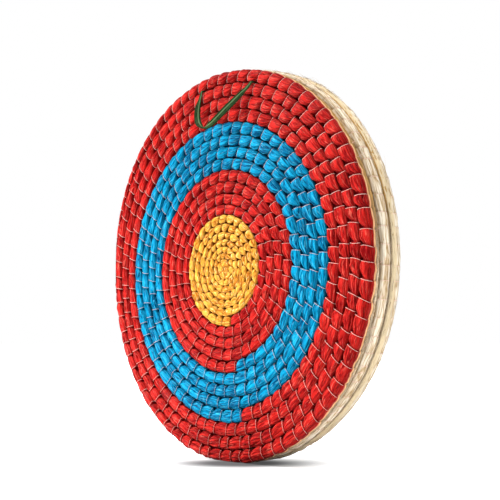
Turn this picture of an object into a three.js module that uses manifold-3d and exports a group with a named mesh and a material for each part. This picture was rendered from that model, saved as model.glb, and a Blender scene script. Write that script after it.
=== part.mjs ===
// Coiled straw archery target that stands on its rim: three coiled layers sewn on each other.
// Millimetres, +Z up, the coloured face towards -Y, the origin under the middle of the rim.
import * as THREE from 'three';
import { mergeVertices } from 'three/addons/utils/BufferGeometryUtils.js';
import Module from 'manifold-3d';

const wasm = await Module();
wasm.setup();

// Clearances
const seatGap = 0.3; // between two pieces that touch on the real target
const turnGap = 0.65; // between one turn of a rope and the next
const overrun = 5; // how far a cutting block reaches past what it cuts

// Coil of the front layer, from the eye outwards: the rope grows thicker from band to band
const eyeRadius = 1;
const goldFirstPitch = 6.6;
const goldLastPitch = 10.95;
const innerRedFirstPitch = 12.6;
const innerRedLastPitch = 15.6;
const bluePitch = 15.1;
const outerRedPitch = 16.75;
const goldTurns = 7;
const innerRedTurns = 4;
const blueTurns = 4;
const outerRedTurns = 3.74;
const taperTurns = 0.19; // the rope thins out over this much of its last turn
const tailWidth = 3; // width left at the rope's outer end
const frontStartAngle = 10; // degrees from the bottom of the target, towards +X

// Coil of the two natural layers behind it: the same rope, wound a little larger
const plainEyeRadius = 2.4;
const plainStartAngle = -1.25;
const plainRise = 2.5; // they are sewn on this much higher than the front layer
const middleWoundTurns = 2; // turns of the middle layer that are coiled rope, round a plain core

// Depths, measured backwards from the front of the coloured face
const ropeDepth = 16.5;
const layerGap = 0.5;
const frontStrawDepth = 4.2; // the bare straw behind the front rope's ribbon
const backStrawDepth = 3.6; // the bare straw in front of the back rope's husk
const flatDepth = 2.2; // the rim is pressed flat this deep where it stands

// Section of a rope
const crownShare = 0.25; // of its width, on either side of the flat crown
const shoulderShare = 0.3; // of its width, from the crown down to the shoulder
const strawInsetShare = 0.18; // of its width, where the straw narrows away from its wrap

// Rings of points around one turn
const fineSteps = 24;
const coarseSteps = 12;
const goldCoarseLaps = 7;
const huskCoarseLaps = 11;
const strawCoarseLaps = 16;

// Sewing threads and rim lashings
const threadSize = 0.8;
const threadRuns = 24;
const threadInnerRadius = 9;
const threadOuterRadius = 221;
const lashingInset = 1.4; // from the edge of the wrap that it crosses
const lashingOffset = 1.9; // from the ridge of the middle rope
const lashingBareSteps = 2; // left without lashing on each side of the foot

// Hanging cord: a tape that goes in between the two outer turns at two places
const cordLeftAngle = 190.3;
const cordRightAngle = 166.7;
const tapeWidth = 6.5;
const tapeThickness = 1.4;
const tailDiameter = 2.4; // the tape is pinched to a round strand inside the coil
const tailRoom = 3.4; // width of its way through the front rope
const tailBend = 2.4; // the strand's corner behind the rope
const hingeStandOff = 1.6; // the tape turns about a line this far in front of the face
const loopTilt = 13.5; // degrees that the loop leans away from the face
const knotLength = 9;
const knotWidth = 4.4;
const knotDepth = 3;
const cordSides = 8;
const loopSteps = 32;
// The loop's route in its own plane: along the hinge line, then down from it
const loopRoute = [
  [0, 0],
  [0.2, 5],
  [-0.3, 12.3],
  [-0.4, 22.1],
  [1.4, 32.1],
  [4.9, 40.9],
  [11, 48.5],
  [20.8, 53.1],
  [32, 50.5],
  [43.4, 42.8],
  [56.7, 32.4],
  [69.3, 23.1],
  [81.7, 13.8],
  [90.9, 6.7],
  [96.9, 0],
];

// Finishes
const strawFinish = { color: 0xc9a66b, roughness: 0.95 };
const goldFinish = { color: 0xf0b429, roughness: 0.5 };
const redFinish = { color: 0xe2352d, roughness: 0.5 };
const blueFinish = { color: 0x1e9bd2, roughness: 0.5 };
const huskFinish = { color: 0xe1cda5, roughness: 0.9 };
const threadFinish = { color: 0xe6ded6, roughness: 0.4 };
const cordFinish = { color: 0x3f6b45, roughness: 0.7 };

// Places that follow from the sizes
const threadRoom = threadSize + 2 * seatGap;
const frontStrawFront = ropeDepth - frontStrawDepth;
const ribbonDepth = frontStrawFront - threadRoom;
const frontThreadDepth = frontStrawFront - threadRoom / 2;
const middleFront = ropeDepth + layerGap;
const middleBack = middleFront + ropeDepth;
const middleRidge = (middleFront + middleBack) / 2;
const backFront = middleBack + layerGap;
const totalDepth = backFront + ropeDepth;
const backStrawBack = backFront + backStrawDepth;
const backThreadDepth = backStrawBack + threadRoom / 2;
const huskFront = backStrawBack + threadRoom;
const goldEnd = goldTurns;
const innerRedEnd = goldEnd + innerRedTurns;
const blueEnd = innerRedEnd + blueTurns;
const ropeEnd = blueEnd + outerRedTurns;
const outerLap = Math.floor(ropeEnd);

const radians = THREE.MathUtils.degToRad;

// One rope coiled outwards from the eye, anticlockwise as seen from the front. A place along it
// is given in turns from the eye.
class Coil {
  constructor(startRadius, startAngle, rise) {
    this.startRadius = startRadius;
    this.startAngle = startAngle;
    this.rise = rise;
    this.bands = [
      { turns: goldTurns, first: goldFirstPitch, last: goldLastPitch },
      { turns: innerRedTurns, first: innerRedFirstPitch, last: innerRedLastPitch },
      { turns: blueTurns, first: bluePitch, last: bluePitch },
      { turns: outerRedTurns + 1, first: outerRedPitch, last: outerRedPitch },
    ];
  }

  innerEdge(turn) {
    let radius = this.startRadius;
    let left = turn;
    for (const band of this.bands) {
      const run = Math.min(left, band.turns);
      radius += run * band.first + (run * run * (band.last - band.first)) / (2 * band.turns);
      left -= run;
    }
    return radius;
  }

  // The outer edge lies against the next turn, and draws in where the rope ends
  outerEdge(turn) {
    const full = this.innerEdge(turn + 1) - turnGap;
    const thin = Math.min(full, this.innerEdge(turn) + tailWidth);
    return THREE.MathUtils.lerp(full, thin, THREE.MathUtils.smoothstep(turn, ropeEnd - taperTurns, ropeEnd));
  }

  point(turn, radius, depth) {
    const angle = radians(this.startAngle) + turn * 2 * Math.PI;
    return new THREE.Vector3(radius * Math.sin(angle), depth, this.rise - radius * Math.cos(angle));
  }

  // How many turns the rope has made when it passes an angle on a given lap
  turnAt(angle, lap) {
    return lap + (angle - this.startAngle) / 360;
  }

  // Radius of the whole layer at one step of its rim
  rimRadius(step) {
    const turn = outerLap + step / fineSteps;
    return turn < ropeEnd ? this.outerEdge(turn) : this.outerEdge(turn - 1);
  }
}

const frontCoil = new Coil(eyeRadius, frontStartAngle, 0);
const plainCoil = new Coil(plainEyeRadius, plainStartAngle, plainRise);

// Level of the flat foot, below the coil's middle
const footLevel = frontCoil.outerEdge(frontCoil.turnAt(0, outerLap)) - flatDepth;

// Places of the rings along a stretch of rope: coarse on the inner laps, fine on the outer ones
function ringTurns(coil, from, to, coarseLaps) {
  const startGap = seatGap / (Math.PI * (coil.innerEdge(from) + coil.outerEdge(from)));
  const turns = [from + startGap];
  for (let step = Math.floor(from * fineSteps) + 1; step < to * fineSteps; step += 1) {
    const turn = step / fineSteps;
    const isCoarse = step % (fineSteps / coarseSteps) === 0;
    if (turn >= coarseLaps || isCoarse) {
      turns.push(turn);
    }
  }
  turns.push(to);
  return turns;
}

// Sections of the ropes: closed rows of points around the rope at one place
function ribbonSection(coil, turn) {
  const inner = coil.innerEdge(turn);
  const outer = coil.outerEdge(turn);
  const width = outer - inner;
  return [
    coil.point(turn, inner, ribbonDepth),
    coil.point(turn, inner, width * shoulderShare),
    coil.point(turn, inner + width * crownShare, 0),
    coil.point(turn, outer - width * crownShare, 0),
    coil.point(turn, outer, width * shoulderShare),
    coil.point(turn, outer, ribbonDepth),
  ];
}

function huskSection(coil, turn) {
  const inner = coil.innerEdge(turn);
  const outer = coil.outerEdge(turn);
  const width = outer - inner;
  const shoulderDepth = totalDepth - width * shoulderShare;
  return [
    coil.point(turn, inner, huskFront),
    coil.point(turn, inner, shoulderDepth),
    coil.point(turn, inner + width * crownShare, totalDepth),
    coil.point(turn, outer - width * crownShare, totalDepth),
    coil.point(turn, outer, shoulderDepth),
    coil.point(turn, outer, huskFront),
  ];
}

function wholeRopeSection(coil, turn) {
  const inner = coil.innerEdge(turn);
  const outer = coil.outerEdge(turn);
  const crown = (outer - inner) * crownShare;
  return [
    coil.point(turn, inner, middleRidge),
    coil.point(turn, inner + crown, middleFront),
    coil.point(turn, outer - crown, middleFront),
    coil.point(turn, outer, middleRidge),
    coil.point(turn, outer - crown, middleBack),
    coil.point(turn, inner + crown, middleBack),
  ];
}

function strawSection(coil, turn, wideDepth, narrowDepth) {
  const inner = coil.innerEdge(turn);
  const outer = coil.outerEdge(turn);
  const inset = (outer - inner) * strawInsetShare;
  return [
    coil.point(turn, inner, wideDepth),
    coil.point(turn, outer, wideDepth),
    coil.point(turn, outer - inset, narrowDepth),
    coil.point(turn, inner + inset, narrowDepth),
  ];
}

// A closed body through rings that all have the same number of points
function bodyThroughRings(rings) {
  const sides = rings[0].length;
  const faces = [];
  for (let ring = 0; ring < rings.length - 1; ring += 1) {
    for (let side = 0; side < sides; side += 1) {
      const here = ring * sides + side;
      const next = ring * sides + ((side + 1) % sides);
      faces.push(here, next, next + sides);
      faces.push(here, next + sides, here + sides);
    }
  }
  const lastRing = (rings.length - 1) * sides;
  for (let side = 1; side < sides - 1; side += 1) {
    faces.push(0, side + 1, side);
    faces.push(lastRing, lastRing + side, lastRing + side + 1);
  }
  const geometry = new THREE.BufferGeometry().setFromPoints(rings.flat());
  geometry.setIndex(signedVolume(rings.flat(), faces) < 0 ? faces.reverse() : faces);
  return geometry;
}

function signedVolume(points, faces) {
  let volume = 0;
  for (let corner = 0; corner < faces.length; corner += 3) {
    const [first, second, third] = faces.slice(corner, corner + 3).map((index) => points[index]);
    volume += first.dot(second.clone().cross(third));
  }
  return volume;
}

// Shortest distance between two stretches of one rope that lie a whole turn apart
function leastGap(rings, turns) {
  const samples = [];
  rings.forEach((ring, index) => {
    const ahead = rings[Math.min(index + 1, rings.length - 1)];
    ring.forEach((point, side) => {
      const beside = ring[(side + 1) % ring.length];
      samples.push({ turn: turns[index], point });
      samples.push({ turn: turns[index], point: point.clone().lerp(beside, 1 / 2) });
      samples.push({ turn: turns[index], point: point.clone().lerp(ahead[side], 1 / 2) });
    });
  });
  let least = Infinity;
  for (const one of samples) {
    for (const other of samples) {
      const apart = other.turn - one.turn;
      if (apart > 1 / 2 && apart < 3 / 2) {
        least = Math.min(least, one.point.distanceTo(other.point));
      }
    }
  }
  return least;
}

function ropeBody(name, coil, from, to, coarseLaps, section) {
  const turns = ringTurns(coil, from, to, coarseLaps);
  const rings = turns.map((turn) => section(coil, turn));
  console.log(`${name}: least gap between its turns ${leastGap(rings, turns).toFixed(2)} mm`);
  return bodyThroughRings(rings);
}

// A strand with a rectangular section along a bent path. The lift at each point of the path is
// the direction of the strand's thickness there.
function strandBody(path, lifts, width, thickness) {
  const directions = path.slice(1).map((point, index) => point.clone().sub(path[index]).normalize());
  const rings = path.map((point, index) => {
    const before = directions[Math.max(index - 1, 0)];
    const after = directions[Math.min(index, directions.length - 1)];
    const lift = lifts[index].clone().multiplyScalar(thickness / 2);
    const sideBefore = before.clone().cross(lifts[index]).normalize();
    const sideAfter = after.clone().cross(lifts[index]).normalize();
    const across = sideBefore.clone().add(sideAfter).normalize();
    across.multiplyScalar(width / 2 / across.dot(sideAfter));
    return [
      point.clone().add(across).add(lift),
      point.clone().add(across).sub(lift),
      point.clone().sub(across).sub(lift),
      point.clone().sub(across).add(lift),
    ];
  });
  return bodyThroughRings(rings);
}

// A cord with an eight-sided section along a curve
function cordBody(curve, width, thickness, steps) {
  const corners = [];
  for (let side = 0; side < cordSides; side += 1) {
    const angle = ((side + 1 / 2) / cordSides) * 2 * Math.PI;
    corners.push(new THREE.Vector2((thickness / 2) * Math.cos(angle), (width / 2) * Math.sin(angle)));
  }
  return new THREE.ExtrudeGeometry(new THREE.Shape(corners), { extrudePath: curve, steps });
}

// Cutting one closed body by others
function toSolid(geometry) {
  const bare = geometry.clone();
  bare.deleteAttribute('normal');
  bare.deleteAttribute('uv');
  const merged = mergeVertices(bare);
  const mesh = new wasm.Mesh({
    numProp: 3,
    vertProperties: new Float32Array(merged.getAttribute('position').array),
    triVerts: new Uint32Array(merged.getIndex().array),
  });
  return new wasm.Manifold(mesh);
}

function cutAway(geometry, cutters) {
  const solid = cutters.reduce((left, cutter) => left.subtract(toSolid(cutter)), toSolid(geometry));
  const mesh = solid.getMesh();
  const result = new THREE.BufferGeometry();
  result.setAttribute('position', new THREE.Float32BufferAttribute(mesh.vertProperties, 3));
  result.setIndex(Array.from(mesh.triVerts));
  return result;
}

// The block that presses the foot flat reaches past the target on every side
function footCutter() {
  const reach = 2 * frontCoil.innerEdge(ropeEnd + 1);
  const block = new THREE.BoxGeometry(reach, totalDepth + 2 * overrun, reach);
  block.translate(0, totalDepth / 2, -footLevel - reach / 2);
  return block;
}

// The assembly
const disc = new THREE.Group();

function addPiece(name, finish, geometry) {
  geometry.computeVertexNormals();
  const material = new THREE.MeshStandardMaterial({ ...finish, metalness: 0, flatShading: true });
  const mesh = new THREE.Mesh(geometry, material);
  mesh.name = name;
  disc.add(mesh);
  return mesh;
}

// Hanging cord: where its two ends go in, in the groove under the outermost turn
function cordEntry(angle) {
  const turn = frontCoil.turnAt(angle, outerLap);
  return frontCoil.point(turn, frontCoil.innerEdge(turn) - turnGap / 2, 0);
}

const leftEntry = cordEntry(cordLeftAngle);
const rightEntry = cordEntry(cordRightAngle);
const entrySpan = leftEntry.distanceTo(rightEntry);
const alongCord = rightEntry.clone().sub(leftEntry).normalize();
const backwards = new THREE.Vector3(0, 1, 0);
const overCord = backwards.clone().cross(alongCord).normalize();
const knotMiddle = leftEntry.clone().lerp(rightEntry, 1 / 2);
const strandDepth = ropeDepth - seatGap - knotDepth / 2;
knotMiddle.setY(strandDepth);

// Cuts in the front rope for the two strands, their run behind it and the knot
function cordCutters() {
  const turned = -Math.atan2(alongCord.z, alongCord.x);
  const holes = [leftEntry, rightEntry].map((entry) => {
    const hole = new THREE.BoxGeometry(tailRoom, ropeDepth + 2 * overrun, tailRoom);
    return hole.rotateY(turned).translate(entry.x, ropeDepth / 2, entry.z);
  });
  const channelFront = strandDepth - tailRoom / 2;
  const channelDepth = ropeDepth + overrun - channelFront;
  const channel = new THREE.BoxGeometry(entrySpan, channelDepth, tailRoom);
  channel.rotateY(turned).translate(knotMiddle.x, channelFront + channelDepth / 2, knotMiddle.z);
  const pocketFront = strandDepth - knotDepth / 2 - seatGap;
  const pocketDepth = ropeDepth + overrun - pocketFront;
  const pocket = new THREE.BoxGeometry(knotLength + 2 * seatGap, pocketDepth, knotWidth + 2 * seatGap);
  pocket.rotateY(turned).translate(knotMiddle.x, pocketFront + pocketDepth / 2, knotMiddle.z);
  return [...holes, channel, pocket];
}

function addFrontLayer() {
  const bands = [
    ['gold_ribbon_wrap', goldFinish, 0, goldEnd],
    ['inner_red_ribbon_wrap', redFinish, goldEnd, innerRedEnd],
    ['blue_ribbon_wrap', blueFinish, innerRedEnd, blueEnd],
  ];
  for (const [name, finish, from, to] of bands) {
    addPiece(name, finish, ropeBody(name, frontCoil, from, to, goldCoarseLaps, ribbonSection));
  }
  const cutters = [footCutter(), ...cordCutters()];
  const redName = 'outer_red_ribbon_wrap';
  const red = ropeBody(redName, frontCoil, blueEnd, ropeEnd, goldCoarseLaps, ribbonSection);
  addPiece(redName, redFinish, cutAway(red, cutters));
  const strawName = 'front_straw_rope';
  const section = (coil, turn) => strawSection(coil, turn, frontStrawFront, ropeDepth);
  const straw = ropeBody(strawName, frontCoil, 0, ropeEnd, strawCoarseLaps, section);
  addPiece(strawName, strawFinish, cutAway(straw, cutters));
}

// The middle layer shows only at the rim: its last turns are rope, wound round a plain core whose
// edge follows the rope's first turn
function addMiddleLayer() {
  const woundFrom = ropeEnd - middleWoundTurns;
  const name = 'middle_husk_rope';
  const rope = ropeBody(name, plainCoil, woundFrom, ropeEnd, 0, wholeRopeSection);
  addPiece(name, huskFinish, cutAway(rope, [footCutter()]));
  const edgeTurns = ringTurns(plainCoil, woundFrom, woundFrom + 1 - 1 / fineSteps, 0).slice(0, -1);
  const edge = edgeTurns.map((turn) => {
    const point = plainCoil.point(turn, plainCoil.innerEdge(turn) - turnGap, 0);
    return new THREE.Vector2(point.x, point.z);
  });
  const core = new THREE.ExtrudeGeometry(new THREE.Shape(edge), { depth: ropeDepth, bevelEnabled: false });
  core.rotateX(Math.PI / 2);
  core.translate(0, middleBack, 0);
  addPiece('middle_straw_core', strawFinish, core);
}

function addBackLayer() {
  const huskName = 'back_husk_wrap';
  const husk = ropeBody(huskName, plainCoil, 0, ropeEnd, huskCoarseLaps, huskSection);
  addPiece(huskName, huskFinish, cutAway(husk, [footCutter()]));
  const strawName = 'back_straw_rope';
  const section = (coil, turn) => strawSection(coil, turn, backStrawBack, backFront);
  const straw = ropeBody(strawName, plainCoil, 0, ropeEnd, strawCoarseLaps, section);
  addPiece(strawName, strawFinish, cutAway(straw, [footCutter()]));
}

// A layer's sewing thread crosses all its turns between the wrap and the straw, out and in again
function addSewingThread(name, depth) {
  const path = [];
  for (let run = 0; run < threadRuns; run += 1) {
    const turn = run / threadRuns;
    const inner = frontCoil.point(turn, threadInnerRadius, depth);
    const outer = frontCoil.point(turn, threadOuterRadius, depth);
    path.push(...(run % 2 === 0 ? [inner, outer] : [outer, inner]));
  }
  const lifts = path.map(() => backwards);
  addPiece(name, threadFinish, strandBody(path, lifts, threadSize, threadSize));
}

// A lashing runs to and fro over the groove between two layers, all round the rim but the foot
function lashingPoint(coil, step, depth) {
  const widest = Math.max(coil.rimRadius(step - 1), coil.rimRadius(step), coil.rimRadius(step + 1));
  return coil.point(outerLap + step / fineSteps, widest + seatGap + threadSize / 2, depth);
}

function addLashing(name, path) {
  const lifts = path.map((point) => new THREE.Vector3(point.x, 0, point.z).normalize());
  addPiece(name, threadFinish, strandBody(path, lifts, threadSize, threadSize));
}

function addLashings() {
  const frontPath = [];
  const backPath = [];
  for (let step = lashingBareSteps; step <= fineSteps - lashingBareSteps; step += 1) {
    frontPath.push(lashingPoint(frontCoil, step, ribbonDepth - lashingInset));
    frontPath.push(lashingPoint(plainCoil, step + 1, middleRidge - lashingOffset));
    const depth = step % 2 === 0 ? middleRidge + lashingOffset : huskFront + lashingInset;
    backPath.push(lashingPoint(plainCoil, step, depth));
  }
  addLashing('front_rim_lashing', frontPath.slice(0, -1));
  addLashing('back_rim_lashing', backPath);
}

// Each strand goes straight in beside the outermost turn, turns behind the rope and ends at the knot
function addStrand(name, entry) {
  const inwards = knotMiddle.clone().sub(entry).setY(0).normalize();
  const tapeBack = -hingeStandOff + tapeThickness / 2 + seatGap;
  const toKnot = entrySpan / 2 - knotLength / 2 - seatGap;
  const start = entry.clone().setY(tapeBack);
  const bendStart = entry.clone().setY(strandDepth - tailBend);
  const corner = entry.clone().setY(strandDepth);
  const bendEnd = corner.clone().addScaledVector(inwards, tailBend);
  const bend = new THREE.QuadraticBezierCurve3(bendStart, corner, bendEnd);
  const path = new THREE.CurvePath();
  path.add(new THREE.LineCurve3(start, bendStart));
  path.add(bend);
  path.add(new THREE.LineCurve3(bendEnd, corner.clone().addScaledVector(inwards, toKnot)));
  const steps = Math.ceil(path.getLength() / tailDiameter);
  addPiece(name, cordFinish, cordBody(path, tailDiameter, tailDiameter, steps));
}

function addHangingCord() {
  addStrand('hang_cord_left_tail', leftEntry);
  addStrand('hang_cord_right_tail', rightEntry);
  const knot = new THREE.SphereGeometry(1 / 2, cordSides, cordSides - 2);
  knot.scale(knotLength, knotDepth, knotWidth);
  knot.rotateY(-Math.atan2(alongCord.z, alongCord.x));
  knot.translate(knotMiddle.x, knotMiddle.y, knotMiddle.z);
  addPiece('hang_cord_knot', cordFinish, knot);

  const points = loopRoute.map(([along, down]) => new THREE.Vector3(along, -down, 0));
  const curve = new THREE.CatmullRomCurve3(points, false, 'centripetal');
  const loop = addPiece('hang_cord_loop', cordFinish, cordBody(curve, tapeWidth, tapeThickness, loopSteps));
  const swing = new THREE.Group();
  const upwards = overCord.clone().negate();
  const turn = new THREE.Matrix4().makeBasis(alongCord, upwards, alongCord.clone().cross(upwards));
  swing.quaternion.setFromRotationMatrix(turn);
  swing.position.copy(leftEntry).setY(-hingeStandOff);
  loop.rotation.x = -radians(loopTilt);
  swing.add(loop);
  disc.add(swing);
  console.log(`hanging loop: free length ${curve.getLength().toFixed(1)} mm`);
}

addFrontLayer();
addSewingThread('front_sewing_thread', frontThreadDepth);
addMiddleLayer();
addBackLayer();
addSewingThread('back_sewing_thread', backThreadDepth);
addLashings();
addHangingCord();

// The disc stands with its foot at the origin and the middle of its width and depth over it
const widths = new THREE.Box3();
for (const piece of disc.children) {
  if (piece.isMesh) {
    widths.expandByObject(piece);
  }
}
disc.position.set(-(widths.min.x + widths.max.x) / 2, -totalDepth / 2, footLevel);

const target = new THREE.Group();
target.add(disc);

const hinge = leftEntry.clone().lerp(rightEntry, 1 / 2).setY(-hingeStandOff).add(disc.position);
console.log('hinge line through', hinge.toArray().map((value) => value.toFixed(3)).join(', '));
console.log('hinge line along', alongCord.toArray().map((value) => value.toFixed(5)).join(', '));
console.log('middle of the coil', disc.position.toArray().map((value) => value.toFixed(3)).join(', '));

export default target;
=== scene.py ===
"""Coiled straw archery target: the finish of every piece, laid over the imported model.

Lengths are in metres. The target stands on its rim with its coloured face towards -Y. A place on
it is given by a turn of the coil, a radius from the coil's middle and a depth behind the face.
"""

import logging
import math
from dataclasses import dataclass
from enum import Enum

import bpy
import numpy as np
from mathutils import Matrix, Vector


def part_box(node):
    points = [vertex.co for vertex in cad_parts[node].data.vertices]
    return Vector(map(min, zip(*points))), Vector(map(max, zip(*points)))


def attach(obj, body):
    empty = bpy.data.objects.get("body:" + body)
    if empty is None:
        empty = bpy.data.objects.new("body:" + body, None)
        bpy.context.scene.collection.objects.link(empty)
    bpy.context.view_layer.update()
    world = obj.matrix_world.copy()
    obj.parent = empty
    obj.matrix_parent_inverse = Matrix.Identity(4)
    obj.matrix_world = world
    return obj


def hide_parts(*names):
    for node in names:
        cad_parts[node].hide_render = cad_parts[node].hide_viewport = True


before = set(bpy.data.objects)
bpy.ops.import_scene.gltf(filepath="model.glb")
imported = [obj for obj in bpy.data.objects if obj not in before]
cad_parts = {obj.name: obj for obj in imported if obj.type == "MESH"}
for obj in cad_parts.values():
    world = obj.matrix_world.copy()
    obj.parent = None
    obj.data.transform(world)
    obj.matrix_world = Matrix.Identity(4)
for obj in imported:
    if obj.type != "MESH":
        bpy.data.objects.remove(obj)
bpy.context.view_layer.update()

log = logging.getLogger("target")

# Eye and start of the coils, whose angles are in degrees from the bottom towards +X
EYE_RADIUS = 0.001
EYE_FADE = (0.78, 1.05)  # turns over which the front rope stops filling its eye
FRONT_START_ANGLE = 10.0
PLAIN_EYE_RADIUS = 0.0024
PLAIN_START_ANGLE = -1.25
PLAIN_RISE = 0.0025  # the natural layers are sewn on this much higher

# Outer end of the ropes
TAPER_TURNS = 0.19  # the rope thins out over this much of its last turn
TAIL_WIDTH = 0.0004
TAIL_SINK = 0.0025
TAIL_TUCK = 0.0035
FREE_FADE = 0.12  # turns over which the last turn's free side begins
TURN_GAP = 0.00065
DENT_START = 0.17  # radius from which the dents of the rim draw the turns in
DENT_RUN = 0.07

# Depths behind the front of the face
ROPE_DEPTH = 0.0165
LAYER_GAP = 0.0005
RIBBON_DEPTH = 0.0109
FRONT_STRAW_FRONT = 0.0123
BACK_STRAW_DEPTH = 0.0036
HUSK_COVER = 0.0150
MIDDLE_FRONT = ROPE_DEPTH + LAYER_GAP
MIDDLE_RIDGE = MIDDLE_FRONT + ROPE_DEPTH / 2
MIDDLE_BACK = MIDDLE_FRONT + ROPE_DEPTH
BACK_FRONT = MIDDLE_BACK + LAYER_GAP
TOTAL_DEPTH = BACK_FRONT + ROPE_DEPTH
WOUND_TURNS = 2.0

FULL_WIDTH = 0.0150  # a narrower rope has shallower shoulders
THREAD_RADIUS = 0.00022
TINY = 1e-12  # keeps a division from failing
SEED = 20


@dataclass(frozen=True)
class Dent:
    """A place where the outer turns are drawn in: its angle in degrees, depth and narrowness."""

    angle: float
    depth: float
    narrowness: float


FRONT_DENTS = (Dent(277.0, 0.0042, 9.0),)
PLAIN_DENTS = (Dent(277.0, 0.005, 9.0), Dent(172.0, 0.0035, 14.0), Dent(35.0, 0.0025, 14.0))


@dataclass(frozen=True)
class Band:
    """A stretch of rope in one colour, whose pitch and stitch length change evenly along it.

    The slant of its stitches is a share of the rope's width, and thread the share of its thickness
    that shows.
    """

    name: str
    turns: float
    first_pitch: float
    last_pitch: float
    first_stitch: float
    last_stitch: float
    slant: float
    thread: float


BANDS = (
    Band("gold", 7.0, 0.0066, 0.01095, 0.0078, 0.0150, slant=0.30, thread=0.35),
    Band("inner_red", 4.0, 0.0126, 0.0156, 0.0175, 0.0190, slant=0.18, thread=0.7),
    Band("blue", 4.0, 0.0151, 0.0151, 0.0195, 0.0195, slant=0.19, thread=0.75),
    Band("outer_red", 3.74, 0.01675, 0.01675, 0.0200, 0.0200, slant=0.18, thread=1.0),
)
ROPE_END = sum(band.turns for band in BANDS)
OUTER_LAP = math.floor(ROPE_END)
STRAW_SHOWS_FROM = ROPE_END - 1.1


def on_rim(turn: np.ndarray) -> np.ndarray:
    """Steps back one turn where there is no rope left at a turn of the outer lap."""
    return np.where(turn > ROPE_END, turn - 1, turn)


def smoothstep(share: np.ndarray) -> np.ndarray:
    """Eases a share from 0 to 1."""
    share = np.clip(share, 0, 1)
    return share * share * (3 - 2 * share)


def past(value: np.ndarray, start: float) -> np.ndarray:
    """How far a value has come on its way from a start to 1."""
    return np.clip((value - start) / (1 - start), 0, 1)


def linear(red: float, green: float, blue: float) -> tuple[float, float, float, float]:
    """Turns a colour seen on a screen into the shader's linear one.

    Args:
        red: Red from 0 to 255.
        green: Green from 0 to 255.
        blue: Blue from 0 to 255.

    Returns:
        The linear colour with full alpha.
    """
    values = [channel / 255 for channel in (red, green, blue)]
    bent = [v / 12.92 if v < 0.04045 else ((v + 0.055) / 1.055) ** 2.4 for v in values]
    return (*bent, 1.0)


@dataclass(frozen=True)
class Coil:
    """One rope wound outwards from the eye, anticlockwise as seen from the front.

    Where the eye is closed, the wrap's first turn reaches in to the coil's middle.
    """

    start_radius: float
    start_angle: float
    middle: Vector
    dents: tuple[Dent, ...]
    closed_eye: bool = False

    def inner(self, turn: np.ndarray) -> np.ndarray:
        """Finds the radius of the rope's inner edge.

        Args:
            turn: Turns from the eye.

        Returns:
            A radius for each turn.
        """
        left = np.array(turn, float)
        radius = np.full_like(left, self.start_radius)
        for band in BANDS:
            span = band.turns + (band is BANDS[-1])
            run = np.clip(left, 0, span)
            radius += run * band.first_pitch
            radius += run**2 * (band.last_pitch - band.first_pitch) / (2 * band.turns)
            left -= run
        return radius

    def outer(self, turn: np.ndarray) -> np.ndarray:
        """Finds the radius of the rope's outer edge, which draws in where the rope ends.

        Args:
            turn: Turns from the eye.

        Returns:
            A radius for each turn.
        """
        full = self.inner(np.asarray(turn) + 1)
        thin = np.minimum(full, self.inner(turn) + TAIL_WIDTH)
        share = smoothstep((turn - ROPE_END + TAPER_TURNS) / TAPER_TURNS)
        return full + (thin - full) * share

    def place(self, turn: np.ndarray, radius: np.ndarray, depth: np.ndarray) -> np.ndarray:
        """Finds points of the target, pressed flat where they would pass below its foot.

        Args:
            turn: Turns from the eye.
            radius: Distances from the coil's middle.
            depth: Depths behind the face.

        Returns:
            An array of points with one more axis than the arguments.
        """
        angle = math.radians(self.start_angle) + turn * 2 * math.pi
        near_rim = smoothstep((radius - DENT_START) / DENT_RUN)
        for dent in self.dents:
            beside = np.cos(angle - math.radians(dent.angle))
            radius = radius - dent.depth * near_rim * np.exp((beside - 1) * dent.narrowness)
        across = self.middle.x + radius * np.sin(angle)
        back = self.middle.y + depth
        up = np.maximum(self.middle.z - radius * np.cos(angle), 0)
        return np.stack(np.broadcast_arrays(across, back, up), -1)

    def turn_at(self, angle: float | np.ndarray, lap: int) -> float | np.ndarray:
        """Turns from the eye where the rope passes an angle on a given lap."""
        return lap + (angle - self.start_angle) / 360


class Stitches:
    """Where a layer's sewing thread crosses its rope, from the eye to the rope's end."""

    SAMPLES = 400
    JITTER = 0.13
    SLANT_SPREAD = 0.3
    BULGE = 0.015
    BULGE_SPREAD = 0.03

    def __init__(self, coil: Coil, seed: int) -> None:
        """Spaces the stitches by each band's own stitch length, with one at each colour change.

        Args:
            coil: The layer's coil.
            seed: Start of the random draws.
        """
        rng = np.random.default_rng(seed)
        turns: list[float] = []
        slants: list[float] = []
        self.first: dict[str, int] = {}
        self.last: dict[str, int] = {}
        start = 0.0
        for band in BANDS:
            fine = np.linspace(start, start + band.turns, self.SAMPLES)
            radius = (coil.inner(fine) + coil.outer(fine)) / 2
            share = (fine - start) / band.turns
            length = band.first_stitch + (band.last_stitch - band.first_stitch) * share
            density = 2 * math.pi * radius / length
            steps = (density[1:] + density[:-1]) / 2 * np.diff(fine)
            passed = np.concatenate([[0.0], np.cumsum(steps)])
            count = round(passed[-1])
            places = np.arange(count + 1) + rng.uniform(-self.JITTER, self.JITTER, count + 1)
            places[[0, -1]] = 0, count
            found = np.interp(places / count * passed[-1], passed, fine)
            self.first[band.name] = len(turns)
            turns.extend(found[:-1])
            slants.extend([band.slant] * count)
            self.last[band.name] = len(turns)
            start += band.turns
        turns.append(start)
        self.turn = np.array(turns)
        self.count = len(turns) - 1
        slants.append(slants[-1])
        self.slant = np.array(slants) * rng.normal(1, self.SLANT_SPREAD, self.count + 1)
        self.bulge = rng.normal(self.BULGE, self.BULGE_SPREAD, self.count + 1)


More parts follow.
